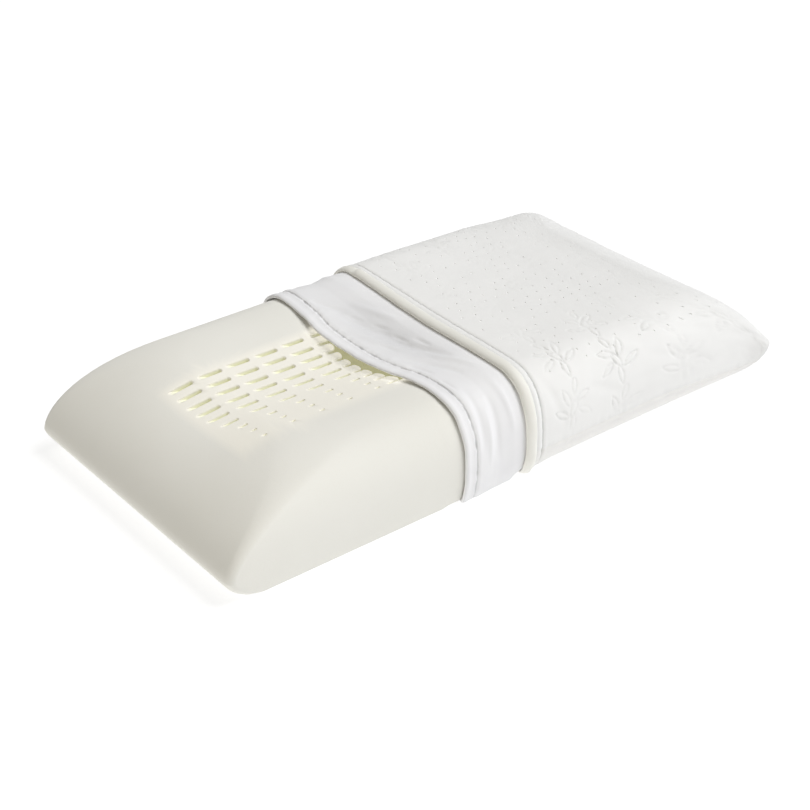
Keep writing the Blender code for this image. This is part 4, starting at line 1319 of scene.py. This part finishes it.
def make_knit(name, light, shaded, loops_across, loops_along, roughness, sheen, mottle_scale):
    """A knitted cloth: near-white mottle, loops and fibre fuzz."""
    material, tree, shader = new_finish(name, roughness, sheen)
    place = object_place(tree)
    mottle = place_group(tree, mottle_group, Place=place, Scale=mottle_scale, Contrast=1.6)
    loops = place_group(tree, knit_group, Place=cloth_place(tree), Loops_across=loops_across,
                        Loops_along=loops_along)
    ground = mix_colour(tree, mottle, colour(*light), colour(*shaded))
    # Painted shade in the furrows between the loops
    furrow = mix_colour(tree, 0.10, ground, colour(*shaded), "MULTIPLY")
    thread = mix_colour(tree, loops, furrow, ground)
    # Painted shade where the piece keeps a share for it: creases, grooves, the stitch line and the span
    # over the hollow
    dark = mix_colour(tree, 0.22, thread, colour(150, 150, 148), "MULTIPLY")
    thread = mix_colour(tree, kept_number(tree, "pressed_and_shaded"), thread, dark)
    tree.links.new(thread, shader.inputs["Base Color"])
    first = add_bump(tree, shader, loops, LOOP_DEPTH)
    fuzz = place_group(tree, fuzz_group, Place=place, Scale=1100.0)
    add_bump(tree, shader, fuzz, FUZZ_DEPTH, 0.8, first)
    return material


# %% The cream edge, and all five finishes
def make_cream():
    """The soft jersey of the rolled edge: cream, a little smoother, with a fine fuzz and no loops."""
    material, tree, shader = new_finish("cream_edge", 0.55, 0.25, 0.35, 0.35)
    place = object_place(tree)
    mottle = place_group(tree, mottle_group, Place=place, Scale=26.0, Contrast=1.6)
    ground = mix_colour(tree, mottle, colour(250, 249, 243), colour(245, 244, 236))
    tree.links.new(ground, shader.inputs["Base Color"])
    fuzz = place_group(tree, fuzz_group, Place=place, Scale=950.0)
    add_bump(tree, shader, fuzz, 0.08 * MM)
    return material


foam_finish = make_foam()
jersey_finish = make_knit("cool_jersey", (250, 250, 251), (244, 244, 246), 900.0, 1000.0, 0.85, 0.20, 18.0)
cover_finish = make_knit("embossed_knit", (254, 254, 253), (248, 248, 247), 860.0, 940.0, 0.82, 0.20, 16.0)
under_finish = make_knit("under_knit", (252, 251, 249), (246, 245, 243), 860.0, 940.0, 0.85, 0.15, 16.0)
cream_finish = make_cream()
print("finishes:", [m.name for m in (foam_finish, jersey_finish, cover_finish, under_finish, cream_finish)])

# %% [markdown]
# ## Dress the frame
# Each piece takes its finish and stands for its solid.

# %% Hand the pieces to the frame
DRESSED = (
    (core, "foam_core", "foam", foam_finish),
    (sleeve, "inner_cover", "jersey", jersey_finish),
    (cover_top, "outer_cover_top", "quilted_knit", cover_finish),
    (cover_bottom, "outer_cover_bottom", "under_knit", under_finish),
    (roll, "edge_roll", "cream_edge", cream_finish),
)
for piece, node, slot, finish in DRESSED:
    piece.data.materials.clear()
    piece.data.materials.append(finish)
    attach(piece, "root")
    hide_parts(node)

# %% [markdown]
# ## Floor and light
# The photograph is a studio picture on white. A sun with a wide disc gives its one broad soft
# light from the front right and above. The white floor and world light the rest from all round,
# and a weak warm softbox at the left keeps the bare end from turning grey.

# %% Floor and world
FLOOR_GREY, FLOOR_GLOW, WORLD_LIGHT = 0.35, 0.77, 0.20
bpy.ops.object.select_all(action="DESELECT")
bpy.ops.mesh.primitive_plane_add(size=160, location=(0, 0, 0))
floor = bpy.context.object
floor.name = "studio_floor"
floor_finish, _, floor_shader = new_finish("studio_white", 1.0, 0.0, 0.5, 0.0)
floor_shader.inputs["Base Color"].default_value = (FLOOR_GREY, FLOOR_GREY, FLOOR_GREY, 1)
floor_shader.inputs["Emission Color"].default_value = (1, 1, 1, 1)
floor_shader.inputs["Emission Strength"].default_value = FLOOR_GLOW
floor.data.materials.append(floor_finish)

world = bpy.data.worlds.new("studio")
world.use_nodes = True
world.node_tree.nodes["Background"].inputs["Color"].default_value = (1, 1, 1, 1)
world.node_tree.nodes["Background"].inputs["Strength"].default_value = WORLD_LIGHT
bpy.context.scene.world = world
bpy.context.scene.view_settings.view_transform = "Standard"
print("floor and world ready")


# %% Two lamps
def add_light(kind, name, place, aim, **settings):
    """A lamp of one kind, which looks from its place at another."""
    bpy.ops.object.select_all(action="DESELECT")
    bpy.ops.object.light_add(type=kind, location=place)
    lamp = bpy.context.object
    lamp.name = name
    for label, value in settings.items():
        setattr(lamp.data, label, value)
    lamp.rotation_mode = "QUATERNION"
    lamp.rotation_quaternion = (Vector(aim) - Vector(place)).to_track_quat("-Z", "Y")
    print(name, "at", place)


PILLOW_MIDDLE = (0, 0, 0.05)
add_light("AREA", "warm_fill", (-2.1, -0.6, 1.2), PILLOW_MIDDLE,
          shape="SQUARE", size=1.4, energy=6.5, color=(1.0, 0.88, 0.62))
add_light("SUN", "key_light", (1.20, -0.70, 2.10), (0, 0, 0), energy=2.36, angle=math.radians(38))

# %% [markdown]
# ## The camera
# Where the camera stands, its lens and its slight roll come from a fit of the pillow's form to
# the outline in the photograph. The fit's optical centre lies off the middle of the frame. So
# the camera is turned by that much, and its shift stays at nothing.

# %% The camera
CAMERA_AZIMUTH, CAMERA_ELEVATION, CAMERA_ROLL = -39.549, 29.954, 0.75
CAMERA_DISTANCE, FOCAL_PIXELS = 2.036, 1704.4
OPTICAL_CENTRE = (417.2, 370.1)
IMAGE, SENSOR_MM = 810, 36.0
azimuth, elevation, tilt = (math.radians(v) for v in (CAMERA_AZIMUTH, CAMERA_ELEVATION, CAMERA_ROLL))
level_way = math.cos(elevation)
back = Vector((math.sin(azimuth) * level_way, -math.cos(azimuth) * level_way, math.sin(elevation)))
right = Vector((math.cos(azimuth), math.sin(azimuth), 0))
up_way = back.cross(right)
right_turned = right * math.cos(tilt) + up_way * math.sin(tilt)
up_turned = up_way * math.cos(tilt) - right * math.sin(tilt)
eye = Vector(PILLOW_MIDDLE) + back * CAMERA_DISTANCE
aim = back - right_turned * (IMAGE / 2 - OPTICAL_CENTRE[0]) / FOCAL_PIXELS
aim = (aim - up_turned * (OPTICAL_CENTRE[1] - IMAGE / 2) / FOCAL_PIXELS).normalized()
side = up_turned.cross(aim).normalized()
above = aim.cross(side)
bpy.ops.object.camera_add(location=eye)
camera = bpy.context.object
camera.name = "camera"
camera.matrix_world = Matrix.Translation(eye) @ Matrix((side, above, aim)).transposed().to_4x4()
camera.data.sensor_width = SENSOR_MM
camera.data.lens = SENSOR_MM * FOCAL_PIXELS / IMAGE
camera.data.clip_start, camera.data.clip_end = 0.05, 60.0
bpy.context.scene.camera = camera
print("camera at", [round(v, 3) for v in eye], "lens", round(camera.data.lens, 2))
